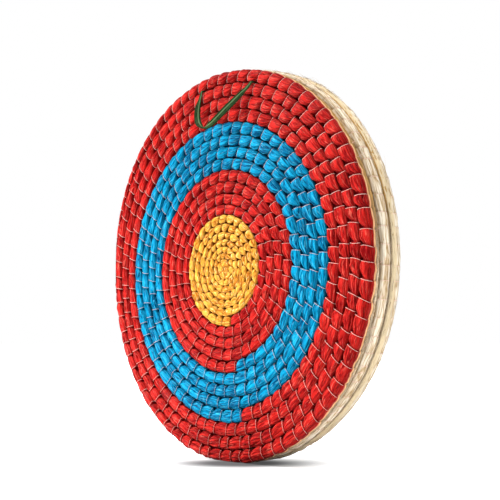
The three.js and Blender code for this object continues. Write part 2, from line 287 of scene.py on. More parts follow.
@dataclass(frozen=True)
class Section:
    """The line round a rope at one place, as shares of its width and height.

    Rise is the height over the shoulders, drop the depth under them, and the last two values the
    direction out of the rope.
    """

    across: np.ndarray
    rise: np.ndarray
    drop: np.ndarray
    out_radial: np.ndarray
    out_depth: np.ndarray

    @property
    def girth(self) -> np.ndarray:
        """Share of the way round at each point."""
        return np.arange(len(self.across)) / len(self.across)


def crowned_section(arc_points: int = 21, side_share: float = 0.68, top_share: float = 0.66) -> Section:
    """Draws a section with a crown, two sides and a flat base, from the inner foot over the crown.

    Args:
        arc_points: Points over the crown.
        side_share: Power that squares the crown's sides.
        top_share: Power that flattens its top.

    Returns:
        The section.
    """
    arc = np.linspace(0, math.pi, arc_points)
    cosine = np.cos(arc)
    across = 0.5 - 0.5 * np.sign(cosine) * np.abs(cosine) ** side_share
    foot, base = np.zeros(2), np.zeros(5)
    return Section(
        across=np.concatenate([foot, across, [1.0, 1.0, 1.0, 0.67, 0.33]]),
        rise=np.concatenate([foot, np.sin(arc).clip(0, 1) ** top_share, base]),
        drop=np.concatenate([[1.0, 0.1], np.zeros(arc_points), [0.33, 0.67, 1.0, 1.0, 1.0]]),
        out_radial=np.concatenate([foot - 1, -cosine, [1.0, 1.0, 1.0, 0.0, 0.0]]),
        out_depth=np.concatenate([foot, -np.sin(arc), base]),
    )


def round_section(points: int = 28, side_share: float = 0.45, top_share: float = 0.5) -> Section:
    """Draws a section that is crowned all round, with its start on the inner edge.

    Args:
        points: Points round the section.
        side_share: Power that squares its sides.
        top_share: Power that flattens its front and back.

    Returns:
        The section.
    """
    arc = np.arange(points) / points * 2 * math.pi
    cosine = np.cos(arc)
    sine = np.sin(arc)
    return Section(
        across=0.5 - 0.5 * np.sign(cosine) * np.abs(cosine) ** side_share,
        rise=np.sign(sine) * np.abs(sine) ** top_share,
        drop=np.zeros(points),
        out_radial=-cosine,
        out_depth=-sine,
    )


@dataclass(frozen=True)
class BeadForm:
    """How a wrap swells between two stitches.

    Most values are shares of the wrap's width, and notch_run is one of a bead's length. The shades set
    painted shade: side_shade between the turns, end_shade at the bead ends and rim_shade on the last
    turn's outer side. Spread is how far the beads differ, and lot_spread how far their tones do. The
    beads open most towards the open angle, in degrees, and on the far side to the least_open share.
    """

    pinch: float = 0.16
    puff: float = 0.04
    notch: float = 0.36
    notch_run: float = 0.5
    head_notch: float = 0.0
    edge_pinch: float = 0.10
    overlap: float = 0.06
    lean: float = 0.16
    fold: float = 0.10
    fold_count: float = 2.8
    crease: float = 0.18
    crease_odds: float = 0.6
    spread: float = 0.28
    free_slope: float = 0.14
    side_shade: float = 0.6
    end_shade: float = 0.6
    rim_shade: float = 0.4
    open_angle: float = 165.0
    least_open: float = 0.45
    lot_spread: float = 1.0


RIBBON_FORM = BeadForm()
GOLD_FORM = BeadForm(
    pinch=0.17, puff=0.08, notch=0.40, notch_run=0.45, head_notch=0.22, edge_pinch=0.09,
    overlap=0.10, lean=0.1, fold=0.13, fold_count=1.5, crease=0.24, crease_odds=0.7, spread=0.4,
    side_shade=1.0, end_shade=0.7,
)
HUSK_FORM = BeadForm(
    pinch=0.035, puff=0.01, notch=0.03, edge_pinch=0.012, overlap=0.01, lean=0.0,
    fold=0.065, fold_count=4.6, crease=0.09, crease_odds=0.8, spread=0.4, free_slope=0.0, end_shade=0.45,
    rim_shade=0.0, lot_spread=0.12,
)


@dataclass(frozen=True)
class Depths:
    """Where a wrap's crown, shoulders and base lie, from its own outer side inwards."""

    crown: float
    shoulder: float
    base: float
    backwards: bool = False

    def behind_face(self, depth: np.ndarray) -> np.ndarray:
        """Depth behind the face of a depth from the wrap's own outer side."""
        return TOTAL_DEPTH - depth if self.backwards else depth


FRONT_DEPTHS = Depths(crown=0.0, shoulder=0.0043, base=RIBBON_DEPTH)
MIDDLE_DEPTHS = Depths(crown=MIDDLE_FRONT, shoulder=MIDDLE_RIDGE, base=MIDDLE_RIDGE)
BACK_DEPTHS = Depths(crown=0.0, shoulder=0.0050, base=HUSK_COVER, backwards=True)


def unit(arrows: np.ndarray) -> np.ndarray:
    """Brings arrows to a length of 1."""
    return arrows / (np.linalg.norm(arrows, axis=-1, keepdims=True) + TINY)


def lengths_along(path: np.ndarray) -> np.ndarray:
    """Length from a path's start to each of its points."""
    steps = np.linalg.norm(np.diff(path, axis=-2), axis=-1)
    return np.concatenate([np.zeros((*steps.shape[:-1], 1)), np.cumsum(steps, -1)], -1)


def add_mesh(
    name: str, points: np.ndarray, faces: list, uv: np.ndarray, values: dict[str, np.ndarray]
) -> bpy.types.Object:
    """Makes a smooth mesh object.

    Args:
        name: The piece's name.
        points: Its vertices, one row each.
        faces: Its faces, as rows of vertex numbers, seen from outside.
        uv: The place along and round the piece at each vertex, in metres.
        values: Named numbers for the material, one for each vertex.

    Returns:
        The object, at the origin.
    """
    mesh = bpy.data.meshes.new(name)
    mesh.from_pydata(points.tolist(), [], faces)
    corners = np.zeros(len(mesh.loops), np.int32)
    mesh.loops.foreach_get("vertex_index", corners)
    layer = mesh.uv_layers.new(name="rope")
    layer.data.foreach_set("uv", uv[corners].astype(np.float32).ravel())
    for key, numbers in values.items():
        attribute = mesh.attributes.new(key, "FLOAT", "POINT")
        attribute.data.foreach_set("value", np.asarray(numbers, np.float32).ravel())
    mesh.shade_smooth()
    mesh.update()
    piece = bpy.data.objects.new(name, mesh)
    bpy.context.scene.collection.objects.link(piece)
    return piece


def ring_faces(strands: int, rings: int, sides: int, flipped: bool) -> list:
    """Lists the faces of closed tubes whose vertices come strand by strand and ring by ring.

    Args:
        strands: Number of tubes.
        rings: Rings of each tube.
        sides: Vertices of each ring.
        flipped: Whether the vertices run round the tube the other way.

    Returns:
        The faces: four-sided ones along the tubes and one at each end.
    """
    strand = np.arange(strands)[:, None, None] * rings * sides
    ring = np.arange(rings - 1)[None, :, None] * sides
    side = np.arange(sides)[None, None, :]
    here = strand + ring + side
    beside = strand + ring + (side + 1) % sides
    quads = np.stack([here, beside, beside + sides, here + sides], -1).reshape(-1, 4)
    starts = strand[:, :, 0] + np.arange(sides)[::-1]
    ends = strand[:, :, 0] + (rings - 1) * sides + np.arange(sides)
    if flipped:
        quads, starts, ends = quads[:, ::-1], starts[:, ::-1], ends[:, ::-1]
    return quads.tolist() + starts.tolist() + ends.tolist()


def is_inside_out(rings: np.ndarray) -> bool:
    """Tells whether a tube's faces would point inwards, from the way that its rings turn.

    Args:
        rings: The tube's points, ring by ring.

    Returns:
        True if its faces have to be flipped.
    """
    middle = rings.mean(1)
    spoke = rings - middle[:, None]
    turned = np.cross(spoke, np.roll(spoke, -1, 1)).sum(1)
    ahead = np.gradient(middle, axis=0)
    return float((turned * ahead).sum()) < 0


def tubes(
    name: str, paths: np.ndarray, lifts: np.ndarray, radii: np.ndarray, sides: int
) -> bpy.types.Object:
    """Makes many thin round strands as one object.

    Args:
        name: The piece's name.
        paths: Points of each strand's middle line.
        lifts: A direction across the strand at each point.
        radii: The radius at each point.
        sides: Sides of the strands.

    Returns:
        The object.
    """
    strands, rings = paths.shape[:2]
    ahead = unit(np.gradient(paths, axis=1))
    beside = unit(np.cross(ahead, lifts))
    over = np.cross(beside, ahead)
    angle = np.arange(sides) / sides * 2 * math.pi
    spokes = beside[:, :, None] * np.cos(angle)[:, None] + over[:, :, None] * np.sin(angle)[:, None]
    points = paths[:, :, None] + spokes * radii[:, :, None, None]
    points[..., 2] = np.maximum(points[..., 2], 0)
    along = np.broadcast_to(lengths_along(paths)[:, :, None], (strands, rings, sides))
    around = np.broadcast_to(angle * radii[:, :, None], (strands, rings, sides))
    lot = np.random.default_rng(SEED).random(strands)
    lots = np.broadcast_to(lot[:, None, None], (strands, rings, sides))
    return add_mesh(
        name,
        points.reshape(-1, 3),
        ring_faces(strands, rings, sides, is_inside_out(points[0])),
        np.stack([along, around], -1).reshape(-1, 2),
        {"lot": lots.ravel()},
    )


def add_tube(
    name: str, rings: np.ndarray, along: np.ndarray, around: np.ndarray, values: dict[str, np.ndarray]
) -> bpy.types.Object:
    """Makes one closed tube.

    Args:
        name: The piece's name.
        rings: Its points, ring by ring.
        along: The place of each ring along it.
        around: The place round it of each point, or of each point of a ring.
        values: Named numbers for the material, for each point, ring or point of a ring.

    Returns:
        The object.
    """
    shape = rings.shape[:2]
    uv = np.stack([np.broadcast_to(along[:, None], shape), np.broadcast_to(around, shape)], -1)
    faces = ring_faces(1, *shape, is_inside_out(rings))
    spread = {key: np.broadcast_to(value, shape) for key, value in values.items()}
    return add_mesh(name, rings.reshape(-1, 3), faces, uv.reshape(-1, 2), spread)


@dataclass
class BoundRope:
    """A stretch of rope bound in ribbon or husk, which swells between its stitches.

    Its span holds the numbers of its first and last stitch. Its seed starts the random draws.
    """

    coil: Coil
    stitches: Stitches
    span: tuple[int, int]
    form: BeadForm
    section: Section
    depths: Depths
    seed: int

    SHARES = np.array([0.012, 0.05, 0.12, 0.23, 0.37, 0.52, 0.67, 0.80, 0.90, 0.975])
    LEAST, MOST = 0.3, 1.8  # how far a bead may differ from its form
    FOLD_COUNTS = (0.75, 1.3)  # lowest and highest, as shares of the form's count
    FOLD_SLOPES = (0.3, 0.5)  # mean and spread
    CREASE_DEPTHS = (0.5, 1.3)
    CREASE_PLACES = (0.2, 0.8)
    CREASE_SLOPE = 0.25
    OPEN_RUN = 0.6  # how soon a bead opens towards the open angle
    TAIL_RUN, TAIL_POWER = 0.5, 0.8  # how a bead swells after its first stitch
    HEAD_START, HEAD_DROP = 0.62, 0.93  # and shrinks before its second
    NOTCH_START, NOTCH_POWER = 0.65, 1.5
    SLIM_POWER = 0.6
    TUCK_START = 0.72
    LEAST_RADIUS = 0.3  # in widths, so that a slant stays small at the eye
    FINE_FOLDS, FINE_DEPTH = 2.3, 0.35  # small folds among the large ones
    CREASE_WIDTH = 0.05
    WOBBLE_DEPTH = 0.12
    FOLDS_AT_ENDS = 0.45
    FOLD_POWER, FINE_POWER, FINE_SHIFT = 0.6, 0.8, 0.7
    SIDE_RISE = 0.85  # height of the crown above which nothing is shaded
    BASE_SHADE_START = 0.375
    RIDGE_SHADE_START, RIDGE_SHADE = 8 / 13, 0.5  # for a section without a base
    CORNER_SHADE, OUTER_CORNER_SHADE = 1.6, 0.5
    TAIL_SHADE, HEAD_SHADE_START, HEAD_SHADE = 0.16, 0.93, 0.7
    GIRTH = 2.6  # length round the wrap, in widths
    EYE_SHADE, TURN_SHADE = 0.35, 0.5  # the painted shade is paler in the first turn
    SUNK_ENDS = 3.0  # thread radii that a stitch's ends lie under the wrap
    SUNK_SHARE = 0.24  # of a stitch at each end

    def __post_init__(self) -> None:
        """Draws each bead's own shape."""
        form = self.form
        count = self.stitches.count + 1
        rng = np.random.default_rng(self.seed)
        self.puff, self.notch, self.fold = (
            np.clip(rng.normal(1, form.spread, count), self.LEAST, self.MOST) for _ in range(3)
        )
        from_open = math.radians(self.coil.start_angle - form.open_angle)
        toward = np.cos(2 * math.pi * self.stitches.turn + from_open)
        self.opening = form.least_open + (1 - form.least_open) * smoothstep(toward / self.OPEN_RUN)
        self.notch *= self.opening
        self.fold_count = form.fold_count * rng.uniform(*self.FOLD_COUNTS, count)
        self.fold_slope = rng.normal(*self.FOLD_SLOPES, count)
        self.fold_phase = rng.random(count)
        creased = rng.random(count) < form.crease_odds
        self.crease = form.crease * creased * rng.uniform(*self.CREASE_DEPTHS, count)
        self.crease_place = rng.uniform(*self.CREASE_PLACES, count)
        self.crease_slope = rng.normal(0, self.CREASE_SLOPE, count)
        self.wobble = rng.normal(0, 1, (count, 2))[:, 0]
        self.lot = rng.random(count) * form.lot_spread

    @staticmethod
    def between(values: np.ndarray, beads: np.ndarray, shares: np.ndarray) -> np.ndarray:
        """A value on the way from each bead's first stitch to its second."""
        return values[beads] + (values[beads + 1] - values[beads]) * shares

    def surface(
        self, beads: np.ndarray, shares: np.ndarray, folded: bool, lift: float = 0.0
    ) -> np.ndarray:
        """Finds points of the wrap's outer side.

        Args:
            beads: The bead of each ring.
            shares: Where each ring lies between the bead's two stitches.
            folded: Whether the ribbon's folds are pressed in.
            lift: How far the points stand off the wrap.

        Returns:
            Rows of points, one row for each ring.
        """
        form = self.form
        turn = self.between(self.stitches.turn, beads, shares)[:, None]
        slant = self.between(self.stitches.slant, beads, shares)[:, None]
        bulge = self.between(self.stitches.bulge, beads, shares)[:, None]
        share = shares[:, None]
        inner, outer = self.coil.inner(turn), self.coil.outer(turn)
        width = outer - inner
        thinned = 1 - width / (self.coil.inner(turn + 1) - inner)

        swell = self.swell(share)
        puff = form.puff * self.puff[beads][:, None]
        corner, head_corner = self.corners(share)
        notched = self.notch[beads][:, None] * (form.notch * corner + form.head_notch * head_corner)
        if self.coil.closed_eye:
            inner = inner * smoothstep((turn - EYE_FADE[0]) / (EYE_FADE[1] - EYE_FADE[0]))
        foot = inner
        inner = inner + width * (notched + form.edge_pinch * (1 - swell) - form.overlap * swell)
        outer = outer - width * form.edge_pinch * (1 - swell)
        pinch = form.pinch * self.opening[beads][:, None]
        sunk = width * (pinch * (1 - swell) - puff * swell) + TAIL_SINK * thinned

        part = self.section
        across = part.across[None]
        leaned = part.rise * (1 + form.lean * (1 - 2 * across) * swell)
        crown = self.depths.crown + sunk
        slim = np.minimum(width / FULL_WIDTH, 1) ** self.SLIM_POWER if part.drop.any() else 1.0
        shoulder = self.depths.crown + (self.depths.shoulder - self.depths.crown) * slim
        depth = shoulder + (crown - shoulder) * leaned
        depth = depth + (self.depths.base - shoulder) * part.drop
        free = smoothstep((turn - ROPE_END + 1) / FREE_FADE) * smoothstep(past(across, 0.5))
        depth = depth + width * form.free_slope * free * (1 - part.drop)
        radius = np.where((part.drop > 0) & (across < 0.5), foot, inner + (outer - inner) * across)
        radius = radius - TAIL_TUCK * smoothstep(past(thinned, self.TUCK_START))

        push = np.full_like(depth, lift)
        if folded:
            push = push + width * self.folds(beads[:, None], share, across)
        radius = radius + push * part.out_radial
        depth = depth + push * part.out_depth

        shift = slant * (0.5 - across) + bulge * 4 * across * (1 - across)
        turned = turn + shift * width / (2 * math.pi * np.maximum(radius, self.LEAST_RADIUS * width))
        return self.coil.place(turned, radius, self.depths.behind_face(depth))

    def swell(self, share: np.ndarray) -> np.ndarray:
        """How full a bead is between its two stitches, from 0 to 1."""
        tail = np.sin(np.clip(share / self.TAIL_RUN, 0, 1) * math.pi / 2) ** self.TAIL_POWER
        return tail * np.sqrt(1 - self.HEAD_DROP * past(share, self.HEAD_START) ** 2)

    def corners(self, share: np.ndarray) -> tuple[np.ndarray, np.ndarray]:
        """How far a bead's inner edge draws back at its tail and at its head, from 0 to 1."""
        tail = (1 - np.clip(share / self.form.notch_run, 0, 1)) ** self.NOTCH_POWER
        return tail, past(share, self.NOTCH_START) ** self.NOTCH_POWER

    def folds(self, beads: np.ndarray, share: np.ndarray, across: np.ndarray) -> np.ndarray:
        """Finds the depth of the ribbon's folds, as a share of its width.

        Args:
            beads: The bead of each ring.
            share: Where each ring lies between two stitches.
            across: Where each column lies across the rope.

        Returns:
            Pushes out of the surface, mostly inwards.
        """
        middle = share - 0.5
        gathers = self.fold_count[beads] * across + self.fold_slope[beads] * middle
        gathers = gathers + self.fold_phase[beads]
        valley = 1 - np.abs(np.sin(math.pi * gathers)) ** self.FOLD_POWER
        fine_gathers = self.FINE_FOLDS * gathers + self.FINE_SHIFT * middle
        fine = 1 - np.abs(np.sin(math.pi * fine_gathers)) ** self.FINE_POWER
        place = self.crease_place[beads] + self.crease_slope[beads] * middle
        crease = np.exp(-(((across - place) / self.CREASE_WIDTH) ** 2))
        ends = self.FOLDS_AT_ENDS + (1 - self.FOLDS_AT_ENDS) * np.sin(math.pi * np.clip(share, 0, 1))
        swing = self.wobble[beads] * np.sin(math.pi * 2 * share + across * 3)
        depth = valley + self.FINE_DEPTH * fine + self.WOBBLE_DEPTH * swing
        return -(self.form.fold * self.fold[beads] * depth + self.crease[beads] * crease) * ends

    def hollow(self, beads: np.ndarray, share: np.ndarray, outside: np.ndarray) -> np.ndarray:
        """Finds the painted shade at each point, from 0 on the crown to 1 deep between its neighbours.

        Args:
            beads: The bead of each ring.
            share: Where each ring lies between two stitches.
            outside: Whether each point is on the free side of the outermost turn.

        Returns:
            A number for each point.
        """
        part = self.section
        beside = np.clip(1 - np.abs(part.rise)[None] / self.SIDE_RISE, 0, 1)
        if part.drop.any():
            free = past(part.drop[None], self.BASE_SHADE_START)
        else:
            free = past(np.abs(part.rise)[None], self.RIDGE_SHADE_START) * self.RIDGE_SHADE
        opened = np.clip(sum(self.corners(share)) * self.CORNER_SHADE, 0, 1)
        opened = opened * np.where(part.across < 0.5, 1.0, self.OUTER_CORNER_SHADE)
        opening = self.opening[beads][:, None]
        opened = opened * opening
        beside = beside * (self.form.side_shade + (1 - self.form.side_shade) * opened)
        # painted shade on the outer side of the last turn
        turned_off = self.form.rim_shade * smoothstep(past(part.across, 0.5))
        sides = np.where(outside, np.maximum(free, turned_off * (part.drop < 1)), beside)
        ends = np.clip(1 - share / self.TAIL_SHADE, 0, 1)
        ends = ends + past(share, self.HEAD_SHADE_START) * self.HEAD_SHADE
        return np.clip(sides + ends * opening * self.form.end_shade, 0, 1)

    def build(self, name: str) -> bpy.types.Object:
        """Makes the wrap as one closed piece.

        Args:
            name: The piece's name.

        Returns:
            The object.
        """
        first, last = self.span
        beads = np.repeat(np.arange(first, last), len(self.SHARES))
        shares = np.tile(self.SHARES, last - first)
        turn = self.between(self.stitches.turn, beads, shares)
        inner, outer = self.coil.inner(turn), self.coil.outer(turn)
        steps = np.diff(turn) * math.pi * (inner + outer)[1:]
        along = np.concatenate([[0.0], np.cumsum(steps)])
        width = (outer - inner)[:, None]
        around = self.section.girth[None] * width * self.GIRTH
        outside = (turn > ROPE_END - 1)[:, None] * (self.section.across > 0.5)
        eye_shade = np.clip(self.EYE_SHADE + self.TURN_SHADE * turn, 0, 1)[:, None]
        # one number carries painted shade in the hollows between turns and at the bead ends
        values = {
            "lot": self.lot[beads][:, None],
            "hollow": self.hollow(beads, shares[:, None], outside) * eye_shade,
            "rim": outside * (self.section.across > 0.99) * self.section.drop,
        }
        return add_tube(name, self.surface(beads, shares, folded=True), along, around, values)

    def stitch_paths(
        self, columns: np.ndarray, share: float = 0.97, lift: float = THREAD_RADIUS * 0.6
    ) -> tuple[np.ndarray, np.ndarray]:
        """Finds the lines of the stitches over the wrap.

        Args:
            columns: Points of the section that the thread passes.
            share: Where the thread lies on its bead.
            lift: How far its middle lies off the wrap.

        Returns:
            The lines and a direction out of the wrap at each of their points.
        """
        beads = np.arange(*self.span)
        shares = np.full(len(beads), share)
        low = self.surface(beads, shares, folded=False, lift=lift)[:, columns]
        high = self.surface(beads, shares, folded=False, lift=lift + THREAD_RADIUS)[:, columns]
        share_along = np.linspace(0, 1, len(columns))
        stops = (0, self.SUNK_SHARE, 1 - self.SUNK_SHARE, 1)
        sunk = np.interp(share_along, stops, (self.SUNK_ENDS, 0, 0, self.SUNK_ENDS))
        return low - (high - low) * sunk[None, :, None], high - low


@dataclass(frozen=True)
class PlainRope:
    """A rope or core of bare straw, swept along a coil.

    The front and back are its depths. The inset is the share of its width by which its far side
    narrows, or its near side if negative. The squeeze is how far its edges lie inside the coil's.
    """

    coil: Coil
    front: float
    back: float
    inset: float
    squeeze: float = 0.0

    COARSE_RINGS, FINE_RINGS = 30, 700  # in one turn
    CORNER = 0.4  # power that squares the section
    HALF_STRANDS = 3.5  # the strands show round the rope in twice this number
    STRAND_HEIGHT, STRAND_LEVEL, STRAND_POWER = 0.0012, 0.75, 0.7
    GRAIN = 0.0003
    TWIST_DRIFT = 0.05
    SWAYS, SWAY = 90, 0.3
    GIRTH_UNIT = 0.003
    BARE_ANGLE = 150.0  # where the straw lies bare at the rim
    BARE_START, BARE_RUN, BARE_SHARE = 0.35, 0.5, 0.6

    def build(
        self, name: str, end: float, fine_from: float, seed: int, points: int = 16
    ) -> bpy.types.Object:
        """Makes the rope from the eye to a turn, finer where it shows.

        Args:
            name: The piece's name.
            end: Turn where it ends.
            fine_from: Turn where the fine stretch starts.
            seed: Start of the random draws.
            points: Points round the rope.

        Returns:
            The object.
        """
        rng = np.random.default_rng(seed)
        coarse = np.arange(0, fine_from, 1 / self.COARSE_RINGS)
        fine = np.linspace(fine_from, end, max(2, int((end - fine_from) * self.FINE_RINGS)))
        turn = np.concatenate([coarse, fine])[:, None]
        inner = self.coil.inner(turn) + self.squeeze
        outer = self.coil.outer(turn) - self.squeeze
        width = outer - inner
        arc = np.arange(points) / points * 2 * math.pi
        cosine, sine = np.cos(arc), np.sin(arc)
        across = 0.5 - 0.5 * np.sign(cosine) * np.abs(cosine) ** self.CORNER
        down = 0.5 - 0.5 * np.sign(sine) * np.abs(sine) ** self.CORNER
        narrowed = self.inset * (down if self.inset > 0 else down - 1)
        across = across + narrowed * (1 - 2 * across)
        phase = np.cumsum(rng.normal(0, self.TWIST_DRIFT, (len(turn), 1)), 0)
        phase = phase + np.sin(turn * self.SWAYS) * self.SWAY
        strands = np.abs(np.sin(self.HALF_STRANDS * arc + phase)) ** self.STRAND_POWER
        grain = rng.normal(0, self.GRAIN, (len(turn), points))
        push = (strands - self.STRAND_LEVEL) * self.STRAND_HEIGHT + grain
        radius = inner + width * across - push * cosine
        depth = self.front + (self.back - self.front) * down - push * sine
        steps = np.diff(turn[:, 0]) * math.pi * (inner + outer)[1:, 0]
        along = np.concatenate([[0.0], np.cumsum(steps)])
        from_bare = turn * 2 * math.pi - math.radians(self.BARE_ANGLE - self.coil.start_angle)
        bared = smoothstep((np.cos(from_bare) - self.BARE_START) / self.BARE_RUN)
        values = {"lot": strands, "rim": bared * self.BARE_SHARE}
        rings = self.coil.place(turn, radius, depth)
        return add_tube(name, rings, along, arc * self.GIRTH_UNIT, values)


Input = bool | float | tuple | bpy.types.NodeSocket
WHITE = (1.0, 1.0, 1.0, 1.0)


class NodeSketch:
    """Adds and joins the nodes of one material, world or node group."""

    def __init__(self, tree: bpy.types.NodeTree) -> None:
        """Keeps the tree that the nodes go into."""
        self.tree = tree

    def add(
        self, kind: str, inputs: dict[int | str, Input], output: int | str = 0, **settings: object
    ) -> bpy.types.NodeSocket | None:
        """Adds a node.

        Args:
            kind: The node's type, without its leading words.
            inputs: Numbers, colours or sockets for its inputs.
            output: The output to give back.
            settings: Other settings of the node.

        Returns:
            The chosen output socket, or nothing where the node has none.
        """
        node = self.tree.nodes.new("ShaderNode" + kind)
        for key, value in settings.items():
            setattr(node, key, value)
        for key, value in inputs.items():
            if isinstance(value, bpy.types.NodeSocket):
                self.tree.links.new(value, node.inputs[key])
            else:
                node.inputs[key].default_value = value
        return node.outputs[output] if node.outputs else None

    def math(self, operation: str, first: Input, second: Input = 0.0) -> bpy.types.NodeSocket:
        """A sum or other operation on two numbers."""
        return self.add("Math", {0: first, 1: second}, operation=operation)

    def mix(self, factor: Input, first: Input, second: Input) -> bpy.types.NodeSocket:
        """A colour between two others."""
        return self.add("Mix", {"Factor": factor, 6: first, 7: second}, output=2, data_type="RGBA")

    def span(
        self, value: Input, low: float, high: float, to_low: float = 0.0, to_high: float = 1.0
    ) -> bpy.types.NodeSocket:
        """A number moved from one range into another, and held inside it."""
        return self.add("MapRange", {"Value": value, 1: low, 2: high, 3: to_low, 4: to_high}, clamp=True)

    def rope_place(self) -> list[bpy.types.NodeSocket]:
        """Adds the piece's own map.

        Returns:
            The places along, round and off the piece.
        """
        split = self.tree.nodes.new("ShaderNodeSeparateXYZ")
        self.tree.links.new(self.add("UVMap", {}, uv_map="rope"), split.inputs[0])
        return list(split.outputs)

    def number(self, name: str) -> bpy.types.NodeSocket:
        """A number that the piece's own points carry."""
        return self.add("Attribute", {}, output="Fac", attribute_name=name)

    def seen_plainly(self) -> bpy.types.NodeSocket:
        """Adds a mask of the ways in which a thing is seen.

        Returns:
            A number that is 1 to the camera, in reflections and through glass.
        """
        rays = self.tree.nodes.new("ShaderNodeLightPath").outputs
        seen = self.math("MAXIMUM", rays["Is Camera Ray"], rays["Is Glossy Ray"])
        return self.math("MAXIMUM", seen, rays["Is Transmission Ray"])


def new_sketch(owner: bpy.types.Material | bpy.types.World) -> NodeSketch:
    """Empties the nodes of a new material or world.

    Args:
        owner: The material or world.

    Returns:
        A sketch that adds to its nodes.
    """
    owner.use_nodes = True
    owner.node_tree.nodes.clear()
    return NodeSketch(owner.node_tree)


def fibre_group() -> bpy.types.NodeTree:
    """Builds the node group that draws long fibres along a piece, once.

    Its Along and Across are the fibres in a metre, and Lot sets one bead or strand off from others.

    Returns:
        A group with a coarse and a fine mask of fibres.
    """
    name = "long_fibres"
    if name in bpy.data.node_groups:
        return bpy.data.node_groups[name]
    group = bpy.data.node_groups.new(name, "ShaderNodeTree")
    for way, sockets in (("INPUT", ("Along", "Across", "Lot")), ("OUTPUT", ("Coarse", "Fine"))):
        for socket in sockets:
            group.interface.new_socket(socket, in_out=way, socket_type="NodeSocketFloat")
    sketch = NodeSketch(group)
    entry = group.nodes.new("NodeGroupInput").outputs
    leave = group.nodes.new("NodeGroupOutput").inputs
    place = sketch.rope_place()
    lot_step, roughness, crease_width, ridge_power = 7.0, 0.55, 0.18, 0.7
    shift = sketch.math("MULTIPLY", entry["Lot"], lot_step)
    for socket, stretch, detail in (("Coarse", 1.0, 2.0), ("Fine", 2.7, 3.0)):
        along = sketch.math("MULTIPLY", place[0], sketch.math("MULTIPLY", entry["Along"], stretch))
        across = sketch.math("MULTIPLY", place[1], sketch.math("MULTIPLY", entry["Across"], stretch))
        vector = sketch.add("CombineXYZ", {0: along, 1: across, 2: shift})
        inputs = {"Vector": vector, "Scale": 1.0, "Detail": detail, "Roughness": roughness}
        noise = sketch.add("TexNoise", inputs)
        crease = sketch.math("ABSOLUTE", sketch.math("SUBTRACT", noise, 0.5))
        ridge = sketch.math("POWER", sketch.span(crease, 0.0, crease_width), ridge_power)
        group.links.new(ridge, leave[socket])
    return group


class Slot(Enum):
    """Material slots of the record."""

    GOLD = "gold_ribbon"
    RED = "red_ribbon"
    BLUE = "blue_ribbon"
    STRAW = "straw"
    HUSK = "husk"
    THREAD = "thread"
    TAPE = "green_tape"


@dataclass(frozen=True)
class FibreFinish:
    """A finish of long fibres: ribbon, husk, straw or tape.

    Its deep colour is painted shade between beads and on the tape's edges, and draws the dark lines
    among the fibres, which are partly fibre colour and partly painted shade in creases. Its edge colour
    shows on the side of the last turn's wrap, where straw lies bare at the rim, and as a painted
    highlight along the tape.
    """

    slot: Slot
    dark: tuple
    plain: tuple
    # light colour: pale fibres on straw and husk, and on the ribbons and tape painted highlights and the
    # tint of their sheen
    light: tuple
    # deep colour: painted shade in hollows, and the dark lines among the fibres
    deep: tuple
    edge: tuple
    along: float
    across: float
    roughness: float
    relief: float
    shine: float = 0.04
    mottle: float = 0.3
    pale_and_highlight_streak: float = 0.4
    # share of dark lines among the fibres: partly fibre colour, partly painted shade in creases
    line: float = 0.0

    TONE_SPAN = (0.1, 0.7)  # from dark to plain
    STREAK_SPAN = (0.7, 1.0)
    LINE_SPAN = (0.0, 0.3)
    PAINTED_SHADE_SPAN = (0.1, 1.0)
    EDGE_SPAN = (0.2, 0.5)
    COARSE_RELIEF, FINE_RELIEF = 0.7, 0.3
    ROUGHNESS_SPREAD = 0.08

    def material(self) -> bpy.types.Material:
        """Builds the finish's material.

        Returns:
            The material.
        """
        material = bpy.data.materials.new(self.slot.value)
        sketch = new_sketch(material)
        lot = sketch.number("lot")
        inputs = {"Along": self.along, "Across": self.across, "Lot": lot}
        coarse = sketch.add("Group", inputs, output="Coarse", node_tree=fibre_group())
        fine = coarse.node.outputs["Fine"]
        own = sketch.math("MULTIPLY", lot, self.mottle)
        tone = sketch.math("ADD", sketch.math("MULTIPLY", coarse, 1 - self.mottle), own)
        colour = sketch.mix(sketch.span(tone, *self.TONE_SPAN), self.dark, self.plain)
        # pale streaks of the light colour: pale fibres on straw and husk, painted highlights on the
        # ribbons and tape
        pale_and_highlight_streak = sketch.span(fine, *self.STREAK_SPAN, 0.0, self.pale_and_highlight_streak)
        colour = sketch.mix(pale_and_highlight_streak, colour, self.light)
        # dark lines among the fibres in the deep colour: partly fibre colour, partly painted shade in
        # creases
        line = sketch.span(coarse, *self.LINE_SPAN, self.line, 0.0)
        colour = sketch.mix(line, colour, self.deep)
        # painted shade: the colour turns deep in hollows between beads, at their ends and on the tape's
        # edges
        hollow = sketch.span(sketch.number("hollow"), *self.PAINTED_SHADE_SPAN)
        colour = sketch.mix(hollow, colour, self.deep)
        edge = sketch.span(sketch.number("rim"), *self.EDGE_SPAN)
        colour = sketch.mix(edge, colour, self.edge)
        height = sketch.math("MULTIPLY", coarse, self.COARSE_RELIEF)
        height = sketch.math("ADD", height, sketch.math("MULTIPLY", fine, self.FINE_RELIEF))
        bump = sketch.add("Bump", {"Height": height, "Strength": 1.0, "Distance": self.relief})
        roughest = self.roughness + self.ROUGHNESS_SPREAD
        rough = sketch.span(fine, 0.0, 1.0, roughest, self.roughness - self.ROUGHNESS_SPREAD)
        inputs = {
            "Base Color": colour, "Roughness": rough, "Normal": bump,
            "Specular IOR Level": self.shine, "Specular Tint": self.light,
        }
        sketch.add("OutputMaterial", {"Surface": sketch.add("BsdfPrincipled", inputs)})
        return material


